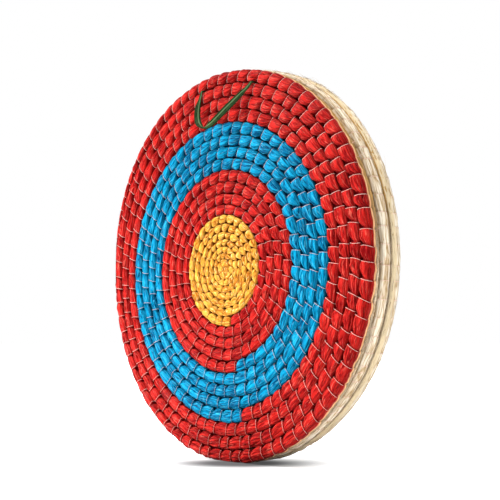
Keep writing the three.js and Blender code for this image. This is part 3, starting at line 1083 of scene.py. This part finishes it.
@dataclass(frozen=True)
class ThreadFinish:
    """The finish of the sewing thread: a pale twisted strand."""

    slot: Slot
    pale: tuple
    shaded: tuple
    twist: float
    roughness: float
    relief: float
    shine: float

    BUMP = 0.6

    def material(self) -> bpy.types.Material:
        """Builds the finish's material.

        Returns:
            The material.
        """
        material = bpy.data.materials.new(self.slot.value)
        sketch = new_sketch(material)
        place = sketch.rope_place()
        along = sketch.math("MULTIPLY", place[0], self.twist)
        around = sketch.math("MULTIPLY", place[1], self.twist)
        wave = sketch.math("SINE", sketch.math("ADD", along, around))
        strand = sketch.span(wave, -1.0, 1.0)
        both = sketch.math("ADD", strand, sketch.number("lot"))
        mean = sketch.math("MULTIPLY", both, 0.5)
        colour = sketch.mix(mean, self.shaded, self.pale)
        inputs = {"Height": strand, "Strength": self.BUMP, "Distance": self.relief}
        bump = sketch.add("Bump", inputs)
        inputs = {
            "Base Color": colour, "Roughness": self.roughness, "Normal": bump,
            "Specular IOR Level": self.shine,
        }
        sketch.add("OutputMaterial", {"Surface": sketch.add("BsdfPrincipled", inputs)})
        return material


# Each fibre finish's deep colour is painted shade, and on the ribbons and tape its light colour is partly
# a painted highlight.
FINISHES = {
    finish.slot: finish
    for finish in (
        FibreFinish(
            Slot.GOLD, dark=linear(184, 98, 18), plain=linear(235, 174, 68), light=linear(252, 238, 166),
            deep=linear(96, 36, 0), edge=linear(250, 205, 110), along=44, across=230, roughness=0.45,
            relief=0.0011, shine=0.06, pale_and_highlight_streak=0.75, line=0.45,
        ),
        FibreFinish(
            Slot.RED, dark=linear(130, 6, 14), plain=linear(206, 38, 33), light=linear(240, 114, 94),
            deep=linear(96, 2, 10), edge=linear(250, 194, 142), along=26, across=250, roughness=0.45,
            relief=0.0018, shine=0.10, pale_and_highlight_streak=0.6, line=0.5,
        ),
        FibreFinish(
            Slot.BLUE, dark=linear(0, 72, 118), plain=linear(8, 154, 200), light=linear(100, 214, 243),
            deep=linear(0, 36, 72), edge=linear(90, 190, 225), along=26, across=250, roughness=0.45,
            relief=0.0018, shine=0.08, pale_and_highlight_streak=0.55, line=0.65,
        ),
        FibreFinish(
            Slot.STRAW, dark=linear(176, 132, 80), plain=linear(240, 222, 190),
            light=linear(250, 242, 218), deep=linear(150, 106, 56), edge=linear(214, 168, 104),
            along=45, across=420, roughness=0.75, relief=0.0014, mottle=0.1, line=0.45,
        ),
        FibreFinish(
            Slot.HUSK, dark=linear(196, 166, 124), plain=linear(238, 226, 204),
            light=linear(250, 244, 232), deep=linear(150, 120, 80), edge=linear(226, 206, 168),
            along=24, across=330, roughness=0.8, relief=0.0012, shine=0.0, mottle=0.05, line=0.6,
        ),
        FibreFinish(
            Slot.TAPE, dark=linear(20, 36, 18), plain=linear(48, 72, 42), light=linear(98, 128, 86),
            deep=linear(20, 32, 16), edge=linear(142, 172, 122), along=80, across=900, roughness=0.5,
            relief=0.0002, pale_and_highlight_streak=0.25,
        ),
        ThreadFinish(
            Slot.THREAD, pale=linear(255, 218, 206), shaded=linear(232, 180, 166), twist=5200.0,
            roughness=0.6, relief=0.0001, shine=0.2,
        ),
    )
}


class Dresser:
    """Gives finished pieces their material and body, and hides the solids that they stand for."""

    def __init__(self) -> None:
        """Starts with no material made."""
        self.made: dict[Slot, bpy.types.Material] = {}

    def dress(self, piece: bpy.types.Object, slot: Slot, body: str, *nodes: str) -> bpy.types.Object:
        """Dresses one piece.

        Args:
            piece: The finished piece.
            slot: Its material slot.
            body: The body that it moves with.
            nodes: The solids that it stands for.

        Returns:
            The piece.
        """
        if slot not in self.made:
            self.made[slot] = FINISHES[slot].material()
        piece.data.materials.clear()
        piece.data.materials.append(self.made[slot])
        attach(piece, body)
        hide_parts(*nodes)
        log.info("%s: %d faces", piece.name, len(piece.data.polygons))
        return piece


@dataclass(frozen=True)
class Studio:
    """Camera, floor and lamps, the first and last of them placed from the middle of the face."""

    middle: Vector

    AIM = Vector((0.05022, 0.0, 0.01962))
    AZIMUTH = 47.86
    ELEVATION = -4.45
    DISTANCE = 1.42757
    LENS = 83.0
    WORLD_GLOW = 0.13
    FLOOR_SIZE = 60.0
    FLOOR_GLOW = 1.2
    SHADE = (0.063, 0.040, 1.0)  # half the size of the painted shadow under the target
    SHADE_PLACE = (0.0300, -0.0250, 0.0)
    SHADE_EDGE = (0.5, 2.6)  # where the patch starts to fade and where it is gone, in half sizes
    SHADE_GLOW = 0.07

    def camera(self) -> None:
        """Adds the camera at the photograph's viewing angle."""
        azimuth, elevation = math.radians(self.AZIMUTH), math.radians(self.ELEVATION)
        level = math.cos(elevation)
        back = Vector((math.sin(azimuth) * level, -math.cos(azimuth) * level, math.sin(elevation)))
        data = bpy.data.cameras.new("camera")
        data.lens = self.LENS
        data.clip_end = self.FLOOR_SIZE * 2
        camera = bpy.data.objects.new("camera", data)
        camera.location = self.middle + self.AIM + back * self.DISTANCE
        camera.rotation_euler = (-back).to_track_quat("-Z", "Y").to_euler()
        bpy.context.scene.collection.objects.link(camera)
        bpy.context.scene.camera = camera

    def lamp(self, name: str, place: tuple, size: float, power: float, gleams: bool = True) -> None:
        """Adds one square soft lamp that looks at the target.

        Args:
            name: The lamp's name.
            place: Its place from the middle of the face.
            size: The length of its side.
            power: Its power in watts.
            gleams: Whether it shows in the sheen of the pieces.
        """
        data = bpy.data.lights.new(name, "AREA")
        data.shape = "SQUARE"
        data.size = size
        data.energy = power
        lamp = bpy.data.objects.new(name, data)
        lamp.location = self.middle + Vector(place)
        lamp.rotation_euler = (-Vector(place)).to_track_quat("-Z", "Y").to_euler()
        lamp.visible_glossy = gleams
        bpy.context.scene.collection.objects.link(lamp)

    def world(self) -> None:
        """Makes the surroundings white to the camera and a plain level to the object."""
        world = bpy.data.worlds.new("surroundings")
        sketch = new_sketch(world)
        strength = sketch.span(sketch.seen_plainly(), 0.0, 1.0, self.WORLD_GLOW, 1.0)
        shine = sketch.add("Background", {"Color": WHITE, "Strength": strength})
        sketch.add("OutputWorld", {"Surface": shine})
        bpy.context.scene.world = world

    def floor(self) -> None:
        """Adds a pale floor that keeps the target's shadow, with a painted shadow of dark grey under its
        foot.
        """
        bpy.ops.mesh.primitive_plane_add(size=self.FLOOR_SIZE, location=(0, 0, 0))
        floor = bpy.context.active_object
        floor.name = "floor"
        material = bpy.data.materials.new("floor")
        sketch = new_sketch(material)
        place = sketch.add("TexCoord", {}, output="Object")
        turned = (0, 0, math.radians(self.AZIMUTH))
        inputs = {"Vector": place, "Location": self.SHADE_PLACE, "Rotation": turned, "Scale": self.SHADE}
        place = sketch.add("Mapping", inputs, vector_type="TEXTURE")
        distance = sketch.add("VectorMath", {0: place}, output="Value", operation="LENGTH")
        inputs = {"Value": distance, 1: self.SHADE_EDGE[0], 2: self.SHADE_EDGE[1]}
        edge = sketch.add("MapRange", inputs, clamp=True, interpolation_type="SMOOTHSTEP")
        glow = sketch.span(edge, 0.0, 1.0, self.SHADE_GLOW, self.FLOOR_GLOW)
        # painted shadow: the floor's own colour turns dark grey under the target
        inputs = {
            "Base Color": sketch.mix(edge, linear(72, 72, 73), linear(240, 240, 240)),
            "Roughness": 1.0, "Specular IOR Level": 0.0, "Emission Color": WHITE,
            "Emission Strength": sketch.math("MULTIPLY", sketch.seen_plainly(), glow),
        }
        sketch.add("OutputMaterial", {"Surface": sketch.add("BsdfPrincipled", inputs)})
        floor.data.materials.append(material)

    def light(self) -> None:
        """Adds the lamps: a small one that grazes the face from the left, a large one high in front,
        and weaker ones before the foot, at the right and above.
        """
        self.lamp("key_lamp", (-2.9, -0.98, 0.25), 0.2, 135.0, gleams=False)
        self.lamp("front_lamp", (-0.06, -0.42, -0.08), 0.25, 0.9)
        self.lamp("fill_lamp", (1.75, 0.2, 0.3), 1.2, 17.0)
        self.lamp("top_lamp", (0.5, 0.4, 2.2), 0.9, 9.0)
        self.lamp("high_lamp", (-0.9, -1.3, 3.8), 1.0, 255.0)
        bpy.context.scene.view_settings.view_transform = "Standard"


@dataclass
class HangingCord:
    """The green tape: a free loop at the top of the face and its two ends behind the face.

    Its angles and tilt are in degrees. The loop's twist, width and thickness are given at shares
    of its length, in degrees and as shares of the tape's own.
    """

    coil: Coil
    left_angle: float = 190.3
    right_angle: float = 166.7
    width: float = 0.0065
    thickness: float = 0.0022
    stand_off: float = 0.0016
    tilt: float = 13.5
    sides: int = 14
    cup: float = 0.10
    tail_diameter: float = 0.0024
    tail_start: float = -0.0007
    tail_bend: float = 0.0024
    knot_length: float = 0.009
    knot_depth: float = 0.003
    knot_strand: float = 0.0007
    clearance: float = 0.0003

    VIEWER = np.array([0.5, -0.86, 0.0])  # where the tape's flat side looks before its twist
    TWISTS = (
        (0, -30), (0.08, -28), (0.16, 12), (0.30, 20), (0.39, 80), (0.46, 10), (0.84, 0), (0.92, 22),
        (1, 23),
    )
    WIDTHS = (
        (0, 0.6), (0.05, 0.8), (0.12, 1.1), (0.2, 1.3), (0.33, 1.3), (0.4, 0.8), (0.46, 1.35), (0.7, 1.4),
        (0.9, 1.05), (1, 0.7),
    )
    THICKNESSES = ((0, 0.55), (0.1, 0.55), (0.18, 1.3), (0.35, 1.0), (0.85, 1.0), (0.9, 0.6), (1, 0.55))
    ROUTE = (
        (0, 0), (0.0002, 0.005), (-0.0003, 0.0123), (-0.0004, 0.0221), (0.0014, 0.0321), (0.0049, 0.0409),
        (0.0110, 0.0485), (0.0208, 0.0531), (0.0320, 0.0505), (0.0434, 0.0428), (0.0567, 0.0324),
        (0.0693, 0.0231), (0.0817, 0.0138), (0.0909, 0.0067), (0.0969, 0),
    )
    EDGE_POWER = 0.8  # squares the tape's edges
    # painted shade on the tape's edges
    EDGE_SHADE = 0.9
    STRIPE_PLACE, STRIPE_WIDTH, STRIPE_SHARE = -0.08, 0.12, 0.5  # the painted highlight along the tape
    END_SWELL, END_SWELLS = 0.06, 2.1
    KNOT_REACH = (0.0011, 0.0005, 0.0007)  # along the face, up and into the coil

    def __post_init__(self) -> None:
        """Finds where the tape goes in on both sides."""
        self.left = self.entry(self.left_angle)
        self.right = self.entry(self.right_angle)
        self.span = np.linalg.norm(self.right - self.left)
        self.along = (self.right - self.left) / self.span
        self.up = np.array([-self.along[2], 0.0, self.along[0]])

    def entry(self, angle: float) -> np.ndarray:
        """Finds where the tape goes in, in the groove under the outermost turn.

        Args:
            angle: The angle of the place.

        Returns:
            The point.
        """
        turn = self.coil.turn_at(angle, OUTER_LAP)
        radius = self.coil.inner(np.array(turn)) - TURN_GAP / 2
        return self.coil.place(turn, radius, 0.0)

    def route(self, steps: int = 12) -> np.ndarray:
        """Finds the loop's middle line, on one smooth curve through the route's points.

        Args:
            steps: Points on each stretch of the curve.

        Returns:
            The line's points.
        """
        tilt = math.radians(self.tilt)
        points = np.array([
            self.left + self.along * along - self.up * down * math.cos(tilt)
            + np.array([0.0, -self.stand_off - down * math.sin(tilt), 0.0])
            for along, down in self.ROUTE
        ])
        padded = np.vstack([2 * points[0] - points[1], points, 2 * points[-1] - points[-2]])
        line = []
        for stretch in zip(padded, padded[1:], padded[2:], padded[3:]):
            gaps = np.linalg.norm(np.diff(stretch, axis=0), axis=1) ** 0.5
            knots = np.concatenate([[0.0], np.cumsum(gaps)])
            for at in np.linspace(knots[1], knots[2], steps, endpoint=False):
                low, mid, high = (
                    self.blend(stretch[i], stretch[i + 1], knots[i], knots[i + 1], at) for i in range(3)
                )
                early = self.blend(low, mid, knots[0], knots[2], at)
                late = self.blend(mid, high, knots[1], knots[3], at)
                line.append(self.blend(early, late, knots[1], knots[2], at))
        line.append(points[-1])
        return np.array(line)

    @staticmethod
    def blend(start: np.ndarray, end: np.ndarray, low: float, high: float, at: float) -> np.ndarray:
        """The point that lies as far from a start to an end as a number from low to high."""
        return (start * (high - at) + end * (at - low)) / (high - low)

    def loop(self, dresser: Dresser) -> None:
        """Makes the free loop: a tape that is pinched at both ends and turned over at the bottom.

        Args:
            dresser: Gives the piece its finish.
        """
        path = self.route()
        along = lengths_along(path)
        share = along / along[-1]
        ahead = unit(np.gradient(path, axis=0))
        across = unit(np.cross(ahead, self.VIEWER))
        twist = np.radians(np.interp(share, *zip(*self.TWISTS)))[:, None]
        flat = across * np.cos(twist) + np.cross(across, ahead) * np.sin(twist)
        lift = np.cross(ahead, flat)
        width = (np.interp(share, *zip(*self.WIDTHS)) * self.width)[:, None]
        thick = (np.interp(share, *zip(*self.THICKNESSES)) * self.thickness)[:, None]
        angle = np.arange(self.sides) / self.sides * 2 * math.pi
        flatwise = np.sign(np.cos(angle)) * np.abs(np.cos(angle)) ** self.EDGE_POWER / 2
        upright = np.sin(angle) / 2
        cup = self.cup * (1 - (2 * flatwise) ** 2)
        rings = (
            path[:, None]
            + flat[:, None] * (width * flatwise)[..., None]
            + lift[:, None] * (thick * upright + width * cup)[..., None]
        )
        highlight_stripe = np.exp(-((flatwise - self.STRIPE_PLACE) / self.STRIPE_WIDTH) ** 2)
        # painted shade on the tape's edges and a painted highlight along it
        values = {
            "lot": 0.5, "hollow": np.abs(flatwise * 2) ** 2 * self.EDGE_SHADE,
            "rim": highlight_stripe * self.STRIPE_SHARE,
        }
        piece = add_tube("hanging_tape_loop", rings, along, flatwise * self.width, values)
        dresser.dress(piece, Slot.TAPE, "hang_loop", "hang_cord_loop")

    def ends(self, dresser: Dresser) -> None:
        """Makes the two strands behind the face and the knot that joins them.

        Args:
            dresser: Gives the pieces their finish.
        """
        back = np.array([0.0, 1.0, 0.0])
        deep = ROPE_DEPTH - self.clearance - self.knot_depth / 2
        bend_start = deep - self.tail_bend
        reach = self.span / 2 - self.knot_length / 2 - self.clearance
        straight = np.linspace(self.tail_start, bend_start, 8, endpoint=False)[:, None]
        bend = np.linspace(0, math.pi / 2, 7)[:, None]
        level = np.linspace(self.tail_bend, reach, 24)[1:, None]
        for side, entry, inwards in (("left", self.left, self.along), ("right", self.right, -self.along)):
            path = np.vstack([
                entry + back * straight,
                entry + back * (deep - self.tail_bend * (1 - np.sin(bend)))
                + inwards * self.tail_bend * (1 - np.cos(bend)),
                entry + back * deep + inwards * level,
            ])
            lifts = np.broadcast_to(self.up, path.shape)
            swell = self.END_SWELL * np.sin(np.arange(len(path)) * self.END_SWELLS)
            radius = self.tail_diameter / 2 * (1 + swell)
            piece = tubes(f"hanging_tape_{side}_end", path[None], lifts[None], radius[None], sides=10)
            dresser.dress(piece, Slot.TAPE, "target", f"hang_cord_{side}_tail")
        way = np.linspace(0, 2 * math.pi, 64, endpoint=False)
        around = 2 + np.cos(3 * way)
        wide, high, thick = self.KNOT_REACH
        knot = (
            (self.left + self.right) / 2 + back * deep
            + self.along * (np.cos(2 * way) * around * wide)[:, None]
            + self.up * (np.sin(2 * way) * around * high)[:, None]
            + back * (np.sin(3 * way) * thick)[:, None]
        )
        knot = np.vstack([knot, knot[:1]])
        lifts = np.broadcast_to(back, knot.shape)
        radii = np.full((1, len(knot)), self.knot_strand)
        piece = tubes("hanging_tape_knot", knot[None], lifts[None], radii, sides=8)
        dresser.dress(piece, Slot.TAPE, "target", "hang_cord_knot")


def joined(pairs: list[tuple[np.ndarray, np.ndarray]]) -> tuple[np.ndarray, np.ndarray]:
    """Joins the stitch lines and directions of several wraps."""
    paths, lifts = zip(*pairs)
    return np.concatenate(paths), np.concatenate(lifts)


@dataclass
class FrontLayer:
    """The coloured layer: four ribbon wraps, their sewing thread and the straw rope behind them.

    The gold ring's thread is buried in its ribbon. A stitch lies at a share of its bead, and its
    thread is slim at the top and bottom of the face.
    """

    coil: Coil
    buried: float = 0.0008
    thread_lift: float = THREAD_RADIUS * 0.8
    stitch_share: float = 0.96
    straw_overlap: float = 0.0012
    straw_inset: float = 0.10

    SLOTS = {"gold": Slot.GOLD, "inner_red": Slot.RED, "blue": Slot.BLUE, "outer_red": Slot.RED}
    STITCH_COLUMNS = np.array([1, 2, 4, 6, 8, 10, 12, 14, 16, 18, 20, 22, 23])
    TAPER, TAPER_COLUMNS = 0.2, 3
    SLIM_THREAD = 0.5

    def __post_init__(self) -> None:
        """Places the layer's stitches and wraps."""
        self.stitches = Stitches(self.coil, SEED)
        self.wraps = [
            BoundRope(
                self.coil, self.stitches, (self.stitches.first[band.name], self.stitches.last[band.name]),
                GOLD_FORM if band is BANDS[0] else RIBBON_FORM, crowned_section(), FRONT_DEPTHS, SEED + 1,
            )
            for band in BANDS
        ]

    def build(self, dresser: Dresser) -> None:
        """Makes the layer's pieces.

        Args:
            dresser: Gives the pieces their finish.
        """
        pairs = []
        shares = []
        for band, wrap in zip(BANDS, self.wraps):
            piece = wrap.build(f"{band.name}_ribbon_beads")
            dresser.dress(piece, self.SLOTS[band.name], "target", f"{band.name}_ribbon_wrap")
            lift = -self.buried if band is BANDS[0] else self.thread_lift
            pairs.append(wrap.stitch_paths(self.STITCH_COLUMNS, self.stitch_share, lift))
            shares.append(np.full(len(pairs[-1][0]), band.thread))
        paths, lifts = joined(pairs)
        last = len(self.STITCH_COLUMNS) - 1
        full = (self.TAPER_COLUMNS, last - self.TAPER_COLUMNS)
        tapered = np.interp(np.arange(last + 1), (0, *full, last), (self.TAPER, 1, 1, self.TAPER))
        spoke = paths.mean(1) - np.array(self.coil.middle)
        sideways = np.abs(spoke[:, 0]) / np.hypot(spoke[:, 0], spoke[:, 2])
        shares = np.concatenate(shares) * (self.SLIM_THREAD + (1 - self.SLIM_THREAD) * sideways)
        radii = THREAD_RADIUS * shares[:, None] * tapered
        piece = tubes("front_sewing_stitches", paths, lifts, radii, sides=5)
        dresser.dress(piece, Slot.THREAD, "target", "front_sewing_thread")
        front = FRONT_STRAW_FRONT - self.straw_overlap
        straw = PlainRope(self.coil, front, ROPE_DEPTH, self.straw_inset)
        piece = straw.build("front_straw_strands", ROPE_END, STRAW_SHOWS_FROM, SEED + 2)
        dresser.dress(piece, Slot.STRAW, "target", "front_straw_rope")


@dataclass
class PlainLayers:
    """The two natural layers behind the coloured one.

    Their core ends a little before the middle layer's wound turns begin. Angles are in degrees
    from the bottom, and a tie leans by one of the tie leans.
    """

    coil: Coil
    thread: float = THREAD_RADIUS * 0.8
    tie_thread: float = THREAD_RADIUS * 0.9
    tie_front: float = 0.0095
    tie_back: float = MIDDLE_RIDGE - 0.002
    tie_stand_off: float = 0.0002
    tie_sag: float = 0.0012
    hidden_ties: int = 10
    core_gap_turns: float = 0.05
    core_squeeze: float = 0.0003
    straw_overlap: float = 0.0012
    straw_inset: float = 0.10
    fibre_count: int = 260
    fibre_lift: float = 0.0020
    most_fibre_lift: float = 0.006
    fibre_root: float = 0.0006
    fibre_bow: float = 0.0008

    TIE_ANGLES = np.array([44.0, 57.0, 66.0, 71.0, 78.0, 88.0, 97.0])
    HIDDEN_TIES_BETWEEN = (110, 350)
    TIE_LEANS = (1.2, 2.6)
    STITCH_COLUMNS = np.array([1, 2, 4, 6, 8, 10, 12, 14, 16, 18, 19, 20])
    LASHING_COLUMNS = np.arange(9, 20)
    LASHING_SHARE = 0.99
    STEP_OUT = 0.001  # to find which way is out
    NEAR_TOP_ODDS = 0.6
    TOP_FIBRES = (160, 20)  # mean and spread of their angles
    FIBRES_BETWEEN = (15, 345)
    FIBRE_REACHES = (0.008, 0.032)
    FIBRE_RADII = (0.00014, 0.00030)
    FIBRE_TAPER, FIBRE_CURL = 0.7, 1.6
    FIBRE_DEPTHS = (MIDDLE_RIDGE, MIDDLE_RIDGE + 0.004, TOTAL_DEPTH - 0.008, TOTAL_DEPTH - 0.005)
    DEPTH_SPREAD, DEPTH_DRIFT = 0.0015, 0.002
    STRAND_SHARES = np.linspace(0, 1, 7)[None]

    def __post_init__(self) -> None:
        """Places the layers' stitches."""
        self.stitches = Stitches(self.coil, SEED + 3)

    def wrap(self, span: tuple[int, int], section: Section, depths: Depths, seed: int) -> BoundRope:
        """A husk wrap over some of the stitches."""
        return BoundRope(self.coil, self.stitches, span, HUSK_FORM, section, depths, seed)

    def build(self, dresser: Dresser) -> None:
        """Makes the layers' pieces, except the ties to the front layer.

        Args:
            dresser: Gives the pieces their finish.
        """
        count = self.stitches.count
        wound = int(np.searchsorted(self.stitches.turn, ROPE_END - WOUND_TURNS))
        middle = self.wrap((wound, count), round_section(), MIDDLE_DEPTHS, SEED + 4)
        dresser.dress(middle.build("middle_husk_strands"), Slot.HUSK, "target", "middle_husk_rope")
        core = PlainRope(self.coil, MIDDLE_FRONT, MIDDLE_BACK, 0.0, self.core_squeeze)
        end = ROPE_END - WOUND_TURNS - self.core_gap_turns
        fine_from = end - self.core_gap_turns
        piece = core.build("middle_straw_turns", end, fine_from, SEED + 5, points=10)
        dresser.dress(piece, Slot.STRAW, "target", "middle_straw_core")
        halves = ((0, count // 2), (count // 2, count))
        section = crowned_section(arc_points=17, side_share=0.6, top_share=0.6)
        backs = [self.wrap(span, section, BACK_DEPTHS, SEED + 6) for span in halves]
        for back, part in zip(backs, ("inner", "outer")):
            piece = back.build(f"back_husk_beads_{part}")
            dresser.dress(piece, Slot.HUSK, "target", "back_husk_wrap")
        straw_back = BACK_FRONT + BACK_STRAW_DEPTH + self.straw_overlap
        straw = PlainRope(self.coil, BACK_FRONT, straw_back, -self.straw_inset)
        piece = straw.build("back_straw_strands", ROPE_END, STRAW_SHOWS_FROM, SEED + 7)
        dresser.dress(piece, Slot.STRAW, "target", "back_straw_rope")
        paths, lifts = joined([back.stitch_paths(self.STITCH_COLUMNS) for back in backs])
        radii = np.full(paths.shape[:2], self.thread)
        piece = tubes("back_sewing_stitches", paths, lifts, radii, sides=4)
        dresser.dress(piece, Slot.THREAD, "target", "back_sewing_thread")
        self.lashings(dresser, middle, wound)
        self.fibres(dresser)

    def lashings(self, dresser: Dresser, middle: BoundRope, wound: int) -> None:
        """Makes the threads that cross the rim between the layers.

        Args:
            dresser: Gives the pieces their finish.
            middle: The middle layer's wrap.
            wound: Number of its first stitch.
        """
        paths, lifts = middle.stitch_paths(self.LASHING_COLUMNS, self.LASHING_SHARE)
        outermost = self.stitches.turn[wound:-1] > ROPE_END - 1
        paths, lifts = paths[outermost], lifts[outermost]
        radii = np.full(paths.shape[:2], self.thread)
        piece = tubes("back_rim_stitches", paths, lifts, radii, sides=5)
        dresser.dress(piece, Slot.THREAD, "target", "back_rim_lashing")

    def rim_radius(self, angle: np.ndarray) -> np.ndarray:
        """Radius of the layers' rim at some angles from the bottom, in degrees."""
        return self.coil.outer(on_rim(self.coil.turn_at(angle, OUTER_LAP)))

    def ties(self, dresser: Dresser, front: Coil) -> None:
        """Makes the few slanted threads between the ribbon's edge and the middle layer.

        Args:
            dresser: Gives the pieces their finish.
            front: The front layer's coil.
        """
        rng = np.random.default_rng(SEED + 8)
        hidden = rng.uniform(*self.HIDDEN_TIES_BETWEEN, self.hidden_ties)
        angles = np.concatenate([self.TIE_ANGLES, hidden])
        share = self.STRAND_SHARES
        lean = rng.uniform(*self.TIE_LEANS, len(angles))[:, None]
        angle = angles[:, None] + lean * share
        turn = front.turn_at(angle, OUTER_LAP)
        depth = self.tie_front + (self.tie_back - self.tie_front) * share
        edge = front.outer(on_rim(turn))
        radius = edge * (1 - share) + self.rim_radius(angle) * share + self.tie_stand_off
        radius = radius - self.tie_sag * np.sin(math.pi * share)
        paths = front.place(turn, radius, depth)
        lifts = front.place(turn, radius + self.STEP_OUT, depth) - paths
        radii = np.full(paths.shape[:2], self.tie_thread)
        piece = tubes("front_rim_ties", paths, lifts, radii, sides=5)
        dresser.dress(piece, Slot.THREAD, "target", "front_rim_lashing")

    def fibres(self, dresser: Dresser) -> None:
        """Makes the loose husk fibres that stand off the rim, most of them near the top.

        Args:
            dresser: Gives the piece its finish.
        """
        rng = np.random.default_rng(SEED + 9)
        count = self.fibre_count
        near_top = rng.random(count) < self.NEAR_TOP_ODDS
        top = rng.normal(*self.TOP_FIBRES, count)
        angle = np.where(near_top, top, rng.uniform(*self.FIBRES_BETWEEN, count))[:, None]
        share = self.STRAND_SHARES
        reach = (rng.uniform(*self.FIBRE_REACHES, count) * rng.choice((-1, 1), count))[:, None]
        lift = rng.exponential(self.fibre_lift, count).clip(0, self.most_fibre_lift)[:, None]
        rim = self.rim_radius(angle)
        depth = rng.choice(self.FIBRE_DEPTHS, count)[:, None]
        depth = depth + rng.normal(0, self.DEPTH_SPREAD, (count, 1))
        depth = depth + rng.normal(0, self.DEPTH_DRIFT, (count, 1)) * share
        turned = self.coil.turn_at(angle + np.degrees(reach * share / rim), OUTER_LAP)
        bow = self.fibre_bow * np.sin(math.pi * share)
        radius = rim - self.fibre_root + lift * share**self.FIBRE_CURL + bow
        paths = self.coil.place(turned, radius, depth)
        lifts = self.coil.place(turned, radius + self.STEP_OUT, depth) - paths
        radii = rng.uniform(*self.FIBRE_RADII, (count, 1)) * (1 - self.FIBRE_TAPER * share)
        piece = tubes("loose_rim_fibres", paths, lifts, radii, sides=3)
        dresser.dress(piece, Slot.HUSK, "target", "middle_husk_rope")


def main() -> None:
    """Builds the scene in order."""
    logging.basicConfig(level=logging.INFO, format="%(name)s %(message)s")
    thread_low, thread_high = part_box("front_sewing_thread")
    centre = (thread_low + thread_high) / 2
    middle = Vector((centre.x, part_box("gold_ribbon_wrap")[0].y, centre.z))
    studio = Studio(middle)
    studio.camera()
    dresser = Dresser()
    front_coil = Coil(EYE_RADIUS, FRONT_START_ANGLE, middle, FRONT_DENTS, closed_eye=True)
    raised = middle + Vector((0, 0, PLAIN_RISE))
    plain_coil = Coil(PLAIN_EYE_RADIUS, PLAIN_START_ANGLE, raised, PLAIN_DENTS)
    cord = HangingCord(front_coil)
    cord.loop(dresser)
    cord.ends(dresser)
    FrontLayer(front_coil).build(dresser)
    plain_layers = PlainLayers(plain_coil)
    plain_layers.build(dresser)
    plain_layers.ties(dresser, front_coil)
    studio.world()
    studio.floor()
    studio.light()


if __name__ == "__main__":
    main()
